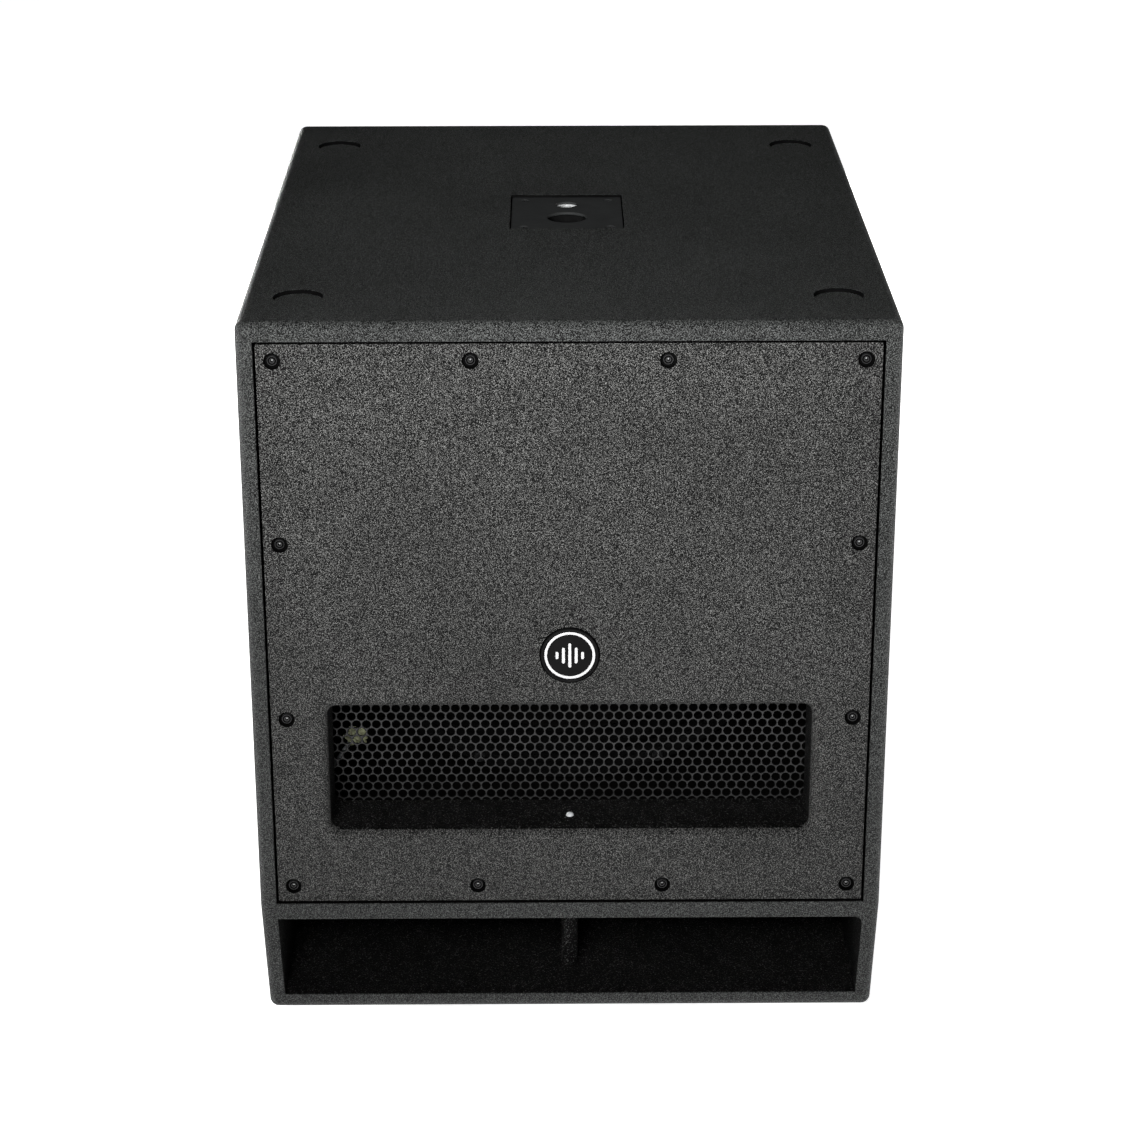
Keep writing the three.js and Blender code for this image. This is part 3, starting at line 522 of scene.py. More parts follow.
# ---------- cabinet ----------


def inner_half(z):
    """Distance from the middle to a side wall's inner face at height z."""
    return INNER - TAPER * max(0, TAPER_TOP - z) / (TAPER_TOP - BOTTOM)


def port_outline():
    """The port's section, with the coat gathered in one upper corner."""
    radius = 6.5
    z0, z1 = PORT
    low, high = inner_half(z0), inner_half(z1)
    corner = [around((high - radius, z1 - radius), radius, radians(90 * i / 8)) for i in range(9)]
    return [(-low, z0), (low, z0), *corner, (-high, z1)]


def cabinet_shell():
    outline = [
        (TAPER - HALF, BOTTOM), (HALF - TAPER, BOTTOM), (HALF, TAPER_TOP),
        (HALF, TOP), (-HALF, TOP), (-HALF, TAPER_TOP),
    ]
    shell = soften(to_object("cabinet_shell", prism(outline, FRONT, BACK)), EDGE, 6)
    before, past = FRONT - 30, TOP + 9
    turn_half = inner_half(PORT[0]) - 1
    gap = 0.7
    plate_x = (PLATE_LOW.x - gap, PLATE_HIGH.x + gap)
    plate_y = (PLATE_LOW.y - gap, PLATE_HIGH.y + gap)
    feet = [middle(name) for name in FEET]
    recess = [(RECESS_RADIUS, TOP - RECESS_DEPTH), (RECESS_RADIUS, past)]
    recesses = [turned(recess, foot[:2], axis="Z") for foot in feet]
    cut(
        shell,
        block((-INNER, INNER), (before, BACK_INSIDE), (SHELF_HIGH.z, CEILING)),
        prism(port_outline(), before, BACK_INSIDE),
        block((-turn_half, turn_half), (SHELF_HIGH.y, BACK_INSIDE - 1), (PORT[1] - 10, SHELF_HIGH.z + 10)),
        merged(block(plate_x, plate_y, (PLATE_LOW.z - 0.3, past)), *recesses),
        block((-24, 24), (-44, 49), (CEILING - 9, TOP - 2)),
    )
    for name, side in HANDLES.items():
        low, high = corners(name)
        rim = rounded((low.y, high.y), (low.z, high.z), 10, grow=0.6)
        hole = rounded((low.y, high.y), (low.z, high.z), 9, grow=-12)
        cut(shell, across(rim, side, HALF - 3.5, HALF + 9), across(hole, side, INNER - 9, HALF - 3))
    cut(shell, prism(rounded(*AMP_CUTOUT, 6), BACK_INSIDE - 9, BACK + 9))
    soften(shell, 0.9, 2, 50)
    boards = ("top_board", "bottom_board", "left_side", "right_side", "back_board", "port_shelf")
    finish_piece(shell, SHELL_COAT, "cabinet_coat", *boards, sharp=None)

    def in_shaded_interior(at, normal):
        between_walls = abs(at.x) < inner_half(at.z) + 0.2 and BOTTOM + 12 < at.z < CEILING + 1
        return FRONT + 0.8 < at.y < BACK_INSIDE + 0.2 and between_walls

    def in_shaded_recess(at, normal):
        if at.z > SHELF_HIGH.z - 2 and in_shaded_interior(at, normal):
            return True
        if not TOP - 7 < at.z < TOP - 0.2:
            return False
        near_foot = any(hypot(at.x - foot.x, at.y - foot.y) < RECESS_RADIUS + 0.4 for foot in feet)
        beside_plate_x = abs(at.x - PLATE.x) < PLATE_HIGH.x - PLATE.x + 0.9
        beside_plate_y = abs(at.y - PLATE.y) < PLATE_HIGH.y - PLATE.y + 0.9
        return abs(normal.z) < 0.9 and near_foot or beside_plate_x and beside_plate_y

    # The cabinet's inner faces get the shaded copy of the coat, painted shade.
    second_material(shell, SHADED_INNER_COAT, in_shaded_interior)
    # The foot recesses' walls, the pole plate's pocket and the cavity above the shelf get painted shade.
    second_material(shell, PAINTED_SHADE_BLACK, in_shaded_recess)


def port_divider():
    low, high = corners("port_divider")
    half = high.x
    nose = [around((0, low.y + half), half, radians(180 + 180 * i / 16)) for i in range(17)]
    board = slab([*nose, (half, high.y), (-half, high.y)], *PORT)
    # The divider gets the shaded copy of the coat, painted shade.
    make("port_divider_board", board, SHADED_INNER_COAT, "cabinet_coat", "port_divider")


cabinet_shell()
port_divider()

# ---------- front panel, slot and badge ----------


def slot_loop(y, grow):
    outline = rounded((-SLOT_HALF, SLOT_HALF), (SLOT_BOTTOM, SLOT_TOP), SLOT_RADIUS + grow, grow=grow)
    return [(x, y, z) for x, z in outline]


def front_panel():
    face, back = PANEL_LOW.y, PANEL_HIGH.y
    outline = facing(PANEL_LOW, PANEL_HIGH, 1.5, 3)
    panel = to_object("front_panel_board", prism(outline, face, back))
    loops = [slot_loop(face - 2, LIP)]
    for i in range(9):
        angle = radians(90 * i / 8)
        loops.append(slot_loop(face + LIP * (1 - cos(angle)), LIP * (1 - sin(angle))))
    loops.append(slot_loop(back + 5, 0))
    cup = [(0, -2), (7.4, -2), (7.3, 0), (6.95, 0.4), (6.9, 2), (6.9, 5), (0, 5)]
    cup_places = [middle(name) for name in SCREWS]
    cups = [turned(cup, (at.x, at.z), 40, face) for at in cup_places]
    seat = [(0, -2), (27.0, -2), (26.8, 0), (26.0, 0.8), (26.0, 2), (0, 2)]
    cut(panel, skin(loops), merged(*cups, turned(seat, (BADGE.x, BADGE.z), 72, face)))
    soften(panel, 0.7, 2, 55)
    finish_piece(panel, PANEL_COAT, "panel_coat", "front_panel", sharp=None)

    def in_shaded_throat(at, normal):
        in_slot = abs(at.x) < SLOT_HALF + 3 and SLOT_BOTTOM - 3 < at.z < SLOT_TOP + 3
        lower_lip = at.z < SLOT_BOTTOM + 0.1 and at.y > face + 4.2
        return in_slot and (lower_lip or at.y > face + LIP - 0.6)

    def in_shaded_cup(at, normal):
        in_seat = hypot(at.x - BADGE.x, at.z - BADGE.z) < 27
        in_screw_cup = any(hypot(at.x - cup.x, at.z - cup.z) < 7.5 for cup in cup_places)
        within_x = PANEL_LOW.x + 0.5 < at.x < PANEL_HIGH.x - 0.5
        within_z = PANEL_LOW.z + 0.5 < at.z < PANEL_HIGH.z - 0.5
        on_edge = at.y > face + 0.8 and not (within_x and within_z)
        return at.y > face + 0.1 and (in_seat or in_screw_cup) or on_edge

    # The slot's throat past the round-over and the inner part of the lower lip get the shaded copy of the
    # coat, painted shade.
    second_material(panel, SHADED_INNER_COAT, in_shaded_throat)
    # The screw cups, the badge seat and the panel's side faces in the gap round it get painted shade.
    second_material(panel, PAINTED_SHADE_BLACK, in_shaded_cup)


def slot_duct():
    low, high = corners("slot_duct")
    front = PANEL_HIGH.y
    duct = to_object("slot_duct_walls", prism(facing(low, high, 4), front, high.y))
    led = middle("power_led")
    led_hole = turned([(3.8, low.z - 5), (3.8, SLOT_BOTTOM + 5)], led[:2], 32, axis="Z")
    cut(duct, skin([slot_loop(front - 5, 0), slot_loop(high.y + 5, 0)]), led_hole)
    # The duct's walls get the shaded copy of the coat, painted shade.
    finish_piece(duct, SHADED_INNER_COAT, "panel_coat", "slot_duct")


def slot_grille():
    """A steel sheet with round holes in staggered rows, each with a rolled rim, in its own hexagonal cell."""
    pitch, sides = 9.0, 12
    columns, rows = 48, 17
    front, back = GRILLE_LOW.y, GRILLE_HIGH.y
    web = front + 0.12
    hole = 3.7
    rim = [(4.18, web), (4.06, front), (3.84, front + 0.04), (3.74, front + 0.2)]
    rim += [(hole, front + 0.6), (hole, back)]
    row_height = pitch * sqrt(3) / 2
    middle_z = (SLOT_BOTTOM + SLOT_TOP) / 2
    turns = [tau * i / sides + pi / 6 for i in range(sides)]
    cell = [pitch / sqrt(3) if i % 2 == 0 else pitch / 2 for i in range(sides)]
    levels = [(cell, web), *[([radius] * sides, y) for radius, y in rim], (cell, back)]
    bm = bmesh.new()
    for row in range(rows):
        z = middle_z + (row - (rows - 1) / 2) * row_height
        for column in range(columns + row % 2):
            x = (column - (columns - 1 + row % 2) / 2) * pitch
            rings = []
            for radii, y in levels:
                points = [around((x, z), radius, turn) for radius, turn in zip(radii, turns)]
                rings.append([bm.verts.new((px, y, pz)) for px, pz in points])
            for level, (outer, inner) in enumerate(zip(rings, rings[1:])):
                for i in range(sides):
                    j = (i + 1) % sides
                    quad = bm.faces.new((outer[i], outer[j], inner[j], inner[i]))
                    quad.material_index = 1 if level == 0 else 0
    bmesh.ops.remove_doubles(bm, verts=bm.verts[:], dist=0.01)
    for edge in [edge for edge in bm.edges if edge.is_boundary]:
        low, high = edge.verts
        if low.co.y < back - 0.2:
            twins = [bm.verts.new((vertex.co.x, back, vertex.co.z)) for vertex in (high, low)]
            bm.faces.new((low, high, *twins))
    bmesh.ops.remove_doubles(bm, verts=bm.verts[:], dist=0.01)
    sheet = to_object("slot_grille_sheet", bm)
    levels = [face.material_index for face in sheet.data.polygons]
    finish_piece(sheet, GRILLE_PAINT, "grille_steel", "slot_grille", sharp=80)
    # The flat webs round the holes get the lighter copy of the grille paint, a painted highlight.
    sheet.data.materials.append(GRILLE_WEB_HIGHLIGHT)
    for face, level in zip(sheet.data.polygons, levels):
        face.material_index = level


def badge():
    """A glossy disc with a white ring and a plain sound-level mark."""
    low, high = corners("badge")
    centre = (BADGE.x, BADGE.z)
    radius, deep, sunk = (high.x - low.x) / 2, high.y - low.y, 0.9
    profile = [
        (0, sunk), (radius - 2.3, sunk), (radius - 1.9, sunk - 0.5), (radius - 1.4, 0.05), (radius - 0.9, 0),
        (radius - 0.3, 0.2), (radius, 0.8), (radius, deep), (0, deep),
    ]
    make("badge_disc", turned(profile, centre, 96, low.y), BADGE_GLOSS, "badge_black", "badge")
    face = low.y + sunk
    ring = [(19.9, 0.1), (20.0, -0.25), (22.2, -0.25), (22.3, 0.1), (19.9, 0.1)]
    make("badge_ring", turned(ring, centre, 96, face), *MARK)
    bars = []
    for i, height in enumerate((7, 15, 23, 15, 7)):
        outline = rounded(about(BADGE.x + (i - 2) * 5.6, 1.25), about(BADGE.z, height / 2), 1.2, 6)
        bars.append(prism(outline, face - 0.25, face + 0.1))
    make("badge_bars", merged(*bars), *MARK)


def socket_screw(node_name):
    """A black cap screw with a hexagon socket, facing the front."""
    low, high = corners(node_name)
    centre = middle(node_name)
    face, long = low.y, high.y - low.y
    profile = [
        (0, 0.05), (2.2, 0.05), (2.4, 0.3), (2.45, 1.6), (3.45, 1.6), (3.5, 0.3), (3.7, 0), (4.1, 0),
        (4.3, 0.25), (4.4, 0.8), (4.4, 3.2), (2.5, 3.2), (2.5, long), (0, long),
    ]
    key_hole = [(0, 2.3), (0.75, 2.2), (0.8, 2.1), (1.45, 2.0), (1.45, 0.3), (1.6, -0.1), (1.6, -2), (0, -2)]
    head = to_object(node_name.replace("screw", "bolt"), turned(profile, (centre.x, centre.z), 40, face))
    cut(head, turned(key_hole, (centre.x, centre.z), 6, face))
    finish_piece(head, *SCREW, node_name, sharp=30)

    def within(at, radius):
        return hypot(at.x - centre.x, at.z - centre.z) < radius

    # The groove round the head and the socket get painted shade.
    second_material(head, PAINTED_SHADE_BLACK, lambda at, normal: at.y > face + 0.31 and within(at, 3.56))
    # A zinc patch at the bottom of the black socket gives a painted glint.
    second_material(head, ZINC, lambda at, normal: at.y < face + 2.5 and within(at, 0.79))


def indicator_lens():
    at = middle("power_led")
    low, high = corners("power_led")
    radius, foot = 3.5, SLOT_BOTTOM + 0.4
    curve = dome(radius, high.z - foot, range(15, 90, 15), foot)
    profile = [(0, low.z), (radius, low.z), (radius, foot), *curve, (0, high.z)]
    make("indicator_lens", turned(profile, at[:2], 32, axis="Z"), LED_LENS, "led_lens", "power_led")


front_panel()
slot_duct()
slot_grille()
badge()
indicator_lens()
for screw in SCREWS:
    socket_screw(screw)

# ---------- pole mount and feet ----------


def crossed(name, head, x, y, reach, half_width, z):
    """A screw standing up at x and y, with a cross recess between two heights."""
    bolt = to_object(name, head)
    for wide, deep in ((reach, half_width), (half_width, reach)):
        cut(bolt, block(about(x, wide), about(y, deep), z))
    return finish_piece(bolt, *SCREW, sharp=30)


def pole_mount():
    low, high = PLATE_LOW, PLATE_HIGH
    top, deep = high.z, high.z - low.z + 5
    plate = to_object("pole_mount_plate", slab(rounded((low.x, high.x), (low.y, high.y), 2, 4), low.z, top))
    bush = THREAD_RADIUS + 0.1
    screws = [(PLATE.x + i * 40.5, PLATE.y + j * 48) for i in (-1, 1) for j in (-1, 1)]
    holes = [
        (CUP, 96, [(POLE_RADIUS, -deep), (POLE_RADIUS, -1), (POLE_RADIUS + 1, 0), (POLE_RADIUS + 1.5, 5)]),
        (THREAD, 72, [(bush, -deep), (bush, -0.5), (bush + 0.5, 0), (bush + 0.5, 5)]),
        *[(place, 40, [(2.4, -deep), (2.4, -2), (4.6, -0.2), (4.7, 5)]) for place in screws],
    ]
    tools = [turned([(0, -deep), *wall, (0, 5)], at[:2], count, top, "Z") for at, count, wall in holes]
    soften(cut(plate, merged(*tools)), 0.4, 2, 40)
    finish_piece(plate, PLATE_PAINT, "plate_steel", "pole_plate", sharp=None)
    profile = [(0, -0.35), (3.6, -0.35), (4.3, -0.6), (2.2, -2.2), (2.2, -14), (0, -15)]
    for i, (x, y) in enumerate(screws):
        head = turned(profile, (x, y), 40, top, "Z")
        crossed(f"pole_plate_screw_{i + 1}", head, x, y, 2.6, 0.55, (top - 1.7, top + 1))
    low, high = corners("pole_cup")
    outer, tall = (high.x - low.x) / 2, high.z - low.z
    profile = [
        (0, 0), (outer - 1, 0), (outer, 1), (outer, tall), (POLE_RADIUS, tall), (POLE_RADIUS, 5),
        (POLE_RADIUS - 2, 3), (0, 3),
    ]
    make("pole_socket", turned(profile, CUP[:2], 96, low.z, "Z"), FRAME_BLACK, "plate_steel", "pole_cup")


def threaded_insert():
    """A bush with a real helical thread."""
    low, high = corners("thread_insert")
    outer = (high.x - low.x) / 2
    segments, steps = 72, 96
    bm = bmesh.new()
    rings = []
    for k in range(steps + 1):
        z = low.z + (high.z - low.z) * k / steps
        ring = []
        for i in range(segments):
            phase = (z / THREAD_PITCH - i / segments) % 1.0
            depth = THREAD_PITCH / 2 * (1 - abs(2 * phase - 1))
            ring.append(bm.verts.new((*around(THREAD, THREAD_RADIUS - depth, tau * i / segments), z)))
        rings.append(ring)
    for z in (high.z, low.z):
        rings.append([bm.verts.new((x, y, z)) for x, y in circle(THREAD, outer, segments)])
    for a, b in zip(rings, rings[1:] + rings[:1]):
        for i in range(segments):
            j = (i + 1) % segments
            bm.faces.new((a[i], a[j], b[j], b[i]))
    # The thread gets plating with a painted sheen.
    make("threaded_bush", bm, PLATING_WITH_PAINTED_SHEEN, "thread_zinc", "thread_insert", sharp=50)


def foot(name):
    low, high = corners(name)
    at, radius, top = middle(name), (high.x - low.x) / 2, high.z
    profile = [
        (3.5, top), (radius - 0.8, top), (radius, top - 0.8), (radius - 0.3, 6), (radius - 0.8, 3),
        (radius - 2, 0.9), (radius - 3.4, 0.2), (radius - 4.5, 0), (10, 0), (9.2, 0.3), (8.4, 1.6), (8, 3),
        (8, 14), (3.5, 14), (3.5, top),
    ]
    rubber = turned(profile, at[:2], 72, axis="Z")
    make(name.replace("foot", "rubber_foot"), rubber, RUBBER, "foot_rubber", name)
    profile = [(3.0, 11.7), (3.2, 11.4), (7.2, 11.4), (7.4, 11.7), (7.4, 12.9), (3.0, 12.9), (3.0, 11.7)]
    washer = turned(profile, at[:2], 48, axis="Z")
    make(name.replace("foot", "foot_washer"), washer, ZINC, "thread_zinc")
    profile = [
        (0, 7.6), (3.0, 7.7), (4.6, 8.6), (5.2, 10.2), (5.2, 11.2), (2.8, 11.2), (2.8, BOTTOM + 10),
        (0, BOTTOM + 12),
    ]
    head = turned(profile, at[:2], 40, axis="Z")
    crossed(name.replace("foot", "foot_screw"), head, at.x, at.y, 3, 0.7, (5, 9.6))


pole_mount()
threaded_insert()
for foot_name in FEET:
    foot(foot_name)

# ---------- side handles ----------


def cross_head(name, place, out, radius):
    """A pan-head screw with a cross recess, standing at place and facing out."""
    tall = radius * 0.42
    profile = [(0, -0.6), (radius, -0.6), *dome(radius, tall, (0, 20, 40, 60, 78)), (0, tall)]
    made = to_object(name, turned(profile, (0, 0), 32, axis="Z"))
    long, narrow = about(0, radius * 0.62), about(0, radius * 0.13)
    recess = (tall * 0.25, tall + 2)
    cut(made, block(long, narrow, recess), block(narrow, long, recess))
    turn = Vector((0, 0, 1)).rotation_difference(Vector(out)).to_matrix().to_4x4()
    made.data.transform(Matrix.Translation(Vector(place) / 1000) @ turn)
    finish_piece(made, *SCREW, sharp=30)


def handle(name, side):
    """A recessed cup with a rounded grip bar across the upper part of its mouth."""
    low, high = corners(name)
    face, rim, wall = HALF - 0.2, 12.5, 3
    y0, y1, z0, z1 = low.y, high.y, low.z, high.z
    grip = z0 + 87

    def layer(grow, radius, x0, x1):
        return across(rounded((y0, y1), (z0, z1), radius, grow=grow), side, face + x0, face + x1)

    shell = to_object(name + "_cup", layer(0, 9, -wall, 0))
    join(shell, layer(-rim, 10, -60, -1.5))
    cut(shell, layer(-rim - wall, 8, -57, -wall))
    join(shell, rod(11, y0 + rim + 1, y1 - rim - 1, side * (face - 11.2), grip))
    mouth = rounded((y0 + rim + 8, y1 - rim - 8), (z0 + rim + 8, grip - 10.5), 10)
    screws = [(y, z) for y in (y0 + 8, (y0 + y1) / 2, y1 - 8) for z in (z0 + 6.5, z1 - 6.5)]
    sinks = [across(circle(at, 2.9, 24), side, face - 0.9, face + 2) for at in screws]
    cut(shell, across(mouth, side, face - 4, face + 5), merged(*sinks))
    soften(shell, 0.7, 2, 40)
    finish_piece(shell, HANDLE_PLASTIC, "handle_plastic", name, sharp=None)
    for i, (y, z) in enumerate(screws):
        cross_head(f"{name}_screw_{i + 1}", (side * (face - 0.8), y, z), (side, 0, 0), 2.7)


for handle_name, handle_side in HANDLES.items():
    handle(handle_name, handle_side)

# ---------- woofer ----------


def revolve(name, profile, material, slot, *replaced, body="cabinet", segments=96):
    bm = turned(profile, (WOOFER.x, WOOFER.z), segments, BAFFLE_FRONT)
    return make(name, bm, material, slot, *replaced, body=body)


def sheet_profile(line, thickness):
    """A closed wall between a line of radius and y and the same line moved back."""
    return [*line, *[(r, y + thickness) for r, y in reversed(line)], line[0]]


def basket():
    profile = [
        (197, -2.2), (216, -2.2), (216, -6.8), (217.5, -8.3), (228, -8.3), (230, -6.6), (230, -0.3),
        (211, -0.3), (209.5, 12), (207, 30), (199, 40), (112, 98), (104, 107), (104, 118.3), (62, 118.3),
        (62, 113), (98, 113), (98, 104), (105, 95), (193, 36), (201, 27), (203, 2), (197, 2), (197, -2.2),
    ]
    centre = (WOOFER.x, WOOFER.z)
    made = to_object("woofer_frame", turned(profile, centre, 96, BAFFLE_FRONT))
    window = [(112, -26), (190, -60), (196, -54), (196, 54), (190, 60), (112, 26)]
    windows = []
    for i in range(6):
        wedge = skin([[(r, y, t) for r, t in window] for y in (BAFFLE_FRONT + 8, BAFFLE_FRONT + 112)])
        turn = Matrix.Rotation(radians(60 * i), 4, "Y")
        wedge.transform(Matrix.Translation((WOOFER.x, 0, WOOFER.z)) @ turn)
        windows.append(wedge)
    soften(cut(made, merged(*windows)), 0.8, 2, 50)
    finish_piece(made, FRAME_BLACK, "basket_cast", "woofer_basket", sharp=None)
    head = [(3.2, 0), (4.6, 0), (5.2, 0.6), (5.2, 3.9), (0, 3.9)]
    face = BAFFLE_FRONT - 12.2
    for i in range(8):
        at = around(centre, 222.5, radians(22.5 + 45 * i))
        bolt = to_object(f"woofer_bolt_{i + 1}", turned(head, at, 36, face))
        cut(bolt, rod(2.5, face - 2, face + 2, *at, 6))
        finish_piece(bolt, *SCREW, sharp=30)
    terminal = prism(rounded((119, 147), (315, 333), 3), -97.5, -93)
    make_soft("speaker_terminal", terminal, 0.6, 2, 35, *PLASTIC)


def moving_parts():
    """Cone, dome and coil, with distances from the front of the baffle."""
    edge, neck, inner = -3, 71, COIL_RADIUS + 0.4
    body = "cone_assembly"
    line = []
    for i in range(25):
        share = i / 24
        sag = 1 - share
        depth = (neck - 1.5 - edge) * (0.62 * sag + 0.38 * sag * sag)
        rib = 0.7 * max(0.0, sin(share * pi * 9)) ** 4 if 0.2 < share < 0.9 else 0
        line.append((inner + (180 - inner) * share, edge + depth - rib))
    revolve("paper_cone", sheet_profile(line, 1.5), CONE_PAPER, "cone_paper", "cone", body=body)
    rim, tall = neck - 7.5, 20
    line = [(60, rim + 0.8), (60.4, rim - 0.4), *dome(60, -tall, range(4, 90, 6), rim), (0, rim - tall)]
    back = [(max(r - 0.9, 0.2), min(y + 1, rim + 0.8)) for r, y in reversed(line[2:-1])]
    cap = [*line, (0, rim - tall + 1), *back, (58.8, rim + 0.8), line[0]]
    revolve("dome_cap", cap, CONE_PAPER, "cone_paper", "dust_cap", body=body)
    front, back = neck - 1, 118.8 + 22
    outer, core = COIL_RADIUS - 1.6, COIL_RADIUS - 2
    former = [(core, front), (outer, front), (outer, back), (core, back), (core, front)]
    revolve("coil_former", former, SPIDER_CLOTH, "coil_copper", body=body)
    start = back - 18
    turns = [(outer, start)]
    for i in range(36):
        at = start + 0.5 * i
        turns += [(COIL_RADIUS - 0.35, at + 0.08), (COIL_RADIUS, at + 0.25), (COIL_RADIUS - 0.35, at + 0.42)]
    turns += [(outer, back), (outer, start)]
    revolve("coil_winding", turns, COPPER, "coil_copper", "voice_coil", body=body, segments=72)


def suspension():
    flat, radius = -3.7, 11
    roll = [around((194, flat), radius, radians(-a)) for a in range(176, -1, -11)]
    line = [(180.5, flat), (182.6, flat), *roll, (206, flat), (215, flat)]
    revolve("roll_surround", sheet_profile(line, 1.2), SURROUND_CLOTH, "surround_rubber", "cone_surround")
    start, reach, waves, height = 52.7, 59, 7, 2.3
    line = []
    for i in range(85):
        share = i / 84
        fade = min(1, share * 7, (1 - share) * 7)
        line.append((start + reach * share, 90 + height * fade * sin(share * tau * waves)))
    revolve("cloth_spider", sheet_profile(line, 0.7), SPIDER_CLOTH, "spider_cloth", "spider")


def motor():
    y, gap = 118.8, COIL_RADIUS + 1.3
    plate = [(gap, y), (88.8, y), (90, y + 1.2), (90, y + 10), (gap, y + 10), (gap, y)]
    revolve("motor_top_plate", plate, GALVANISED, "motor_steel", "top_plate")
    ring = [
        (62, y + 10.3), (107.6, y + 10.3), (110, y + 12.4), (110, y + 32.9), (107.6, y + 35), (62, y + 35),
        (62, y + 10.3),
    ]
    revolve("ferrite_ring", ring, FERRITE, "ferrite", "magnet")
    pole = [
        (17, y), (46.4, y), (48, y + 1.6), (48, y + 35.3), (105, y + 35.3), (105, y + 41), (100.5, y + 45.3),
        (22, y + 45.3), (15, y + 42), (15, y + 3), (17, y),
    ]
    revolve("motor_back_plate", pole, GALVANISED, "motor_steel", "back_plate")


basket()
moving_parts()
suspension()
motor()

# ---------- amplifier panel ----------

INPUTS = [middle(f"xlr_input_{i}") for i in (1, 2)]
OUTPUTS = [middle(f"xlr_output_{i}") for i in (1, 2)]
SOCKET_FACE = TRAY_FLOOR + 3.5
KNOB = middle("level_knob")
SLIDERS = {"crossover": 8, "polarity": 4}
INLET = middle("mains_inlet")
ROCKER = next(Vector(j["pos_m"]) * 1000 for j in frame["joints"] if j["name"] == "power_rock")
ROCKER_TURN = radians(-8)
FINS, FIN_PITCH, FIN_LOW, FIN_HIGH = 17, 16, 205, 425
LAMPS = [("green", -4), ("green", 6), ("amber", 16), ("red", 26)]
LAMP_Z = 574


def fin(x):
    """One cooling fin, slightly tapered, with a rounded tip and sloping ends."""
    base, tip = BACK + 1.0, AMP_HIGH.y
    loops = []
    for z, short in ((FIN_LOW, 5.5), (FIN_LOW + 5, 0), (FIN_HIGH - 5, 0), (FIN_HIGH, 5.5)):
        top = tip - short - 1.3
        end = [around((x, top), 1.3, radians(a)) for a in range(15, 180, 15)]
        outline = [(x - 1.75, base), (x + 1.75, base), (x + 1.35, top), *end, (x - 1.35, top)]
        loops.append([(px, py, z) for px, py in outline])
    return skin(loops)


def amp_panel():
    floor = TRAY_FLOOR
    tray_x, tray_z = (-TRAY_HALF, TRAY_HALF), (TRAY_BOTTOM, TRAY_TOP)
    outline = facing(AMP_LOW, AMP_HIGH, 4)
    plate = to_object("amp_panel_casting", prism(outline, BACK + 0.3, AMP_FACE))
    fins = [fin((i - (FINS - 1) / 2) * FIN_PITCH) for i in range(FINS)]
    join(plate, prism(rounded(tray_x, tray_z, 7, grow=3), floor - 3, BACK + 1), merged(*fins))
    loops = []
    face = AMP_FACE
    for y, grow in ((floor, -1.5), (floor + 1.5, -0.4), (face - 2, 0), (face - 0.6, 0.5), (face + 6, 6)):
        outline = rounded(tray_x, tray_z, 5 + max(grow, 0), grow=grow)
        loops.append([(x, y, z) for x, z in outline])
    through = (floor - 8, floor + 5)
    holes = [rod(12.1, *through, at.x, at.z, 64) for at in (*INPUTS, *OUTPUTS)]
    holes.append(rod(3.6, *through, KNOB.x, KNOB.z))
    holes.append(block(about(INLET.x, 14.3), through, about(INLET.z, 10.3)))
    holes.append(block(about(ROCKER.x, 7), through, about(ROCKER.z, 12.5)))
    for name, travel in SLIDERS.items():
        at = middle(name + "_slider")
        holes.append(block((at.x - 2.2, at.x + travel + 2.2), through, about(at.z, 1.9)))
    holes += [rod(1.7, *through, x, LAMP_Z, 24) for _, x in LAMPS]
    latches = [block(about(at.x, 4.5), through, (at.z + 9, at.z + 14.3)) for at in INPUTS]
    soften(cut(plate, skin(loops), merged(*holes), merged(*latches)), 0.5, 2, 50)
    finish_piece(plate, CAST_BLACK, "amp_aluminium", "amp_panel", sharp=None)
    places = [(x, z) for x in (-146, 146) for z in (199, 300, 400, 500, 601)]
    places += [(x, z) for x in (-73, 73) for z in (197, 603)]
    for i, (x, z) in enumerate(places):
        cross_head(f"amp_panel_screw_{i + 1:02d}", (x, AMP_FACE + 0.4, z), (0, 1, 0), 4.0)


def socket_flange(name, at, replaced, *hollows):
    """A socket's square flange and barrel, with hollows cut in it."""
    floor = TRAY_FLOOR
    flange = rounded(about(at.x, 13), about(at.z, 15.5), 3)
    made = to_object(name, prism(flange, floor + 0.3, floor + 2.2))
    barrel = [(0, -16), (11.8, -16), (11.8, 2.7), (11.0, 3.5), (0, 3.5)]
    join(made, turned(barrel, (at.x, at.z), 64, floor))
    screws = [(at.x + s * 9.6, at.z - s * 12.3) for s in (-1, 1)]
    sinks = [rod(1.9, floor + 1.2, floor + 4, *screw, 24) for screw in screws]
    soften(cut(made, *hollows, merged(*sinks)), 0.25, 2, 45)
    finish_piece(made, SOCKET_BLACK, "socket_black", replaced, sharp=None)
    for i, (x, z) in enumerate(screws):
        cross_head(f"{name}_screw_{i + 1}", (x, floor + 1.4, z), (0, 1, 0), 1.75)


def contacts(at, radius, profile):
    """Three turned contacts in one ring, with distances from the socket's face."""
    places = [(at.x + radius * cos(radians(a)), at.z - radius * sin(radians(a))) for a in (90, 210, 330)]
    return merged(*[turned(profile, place, 24, SOCKET_FACE) for place in places])


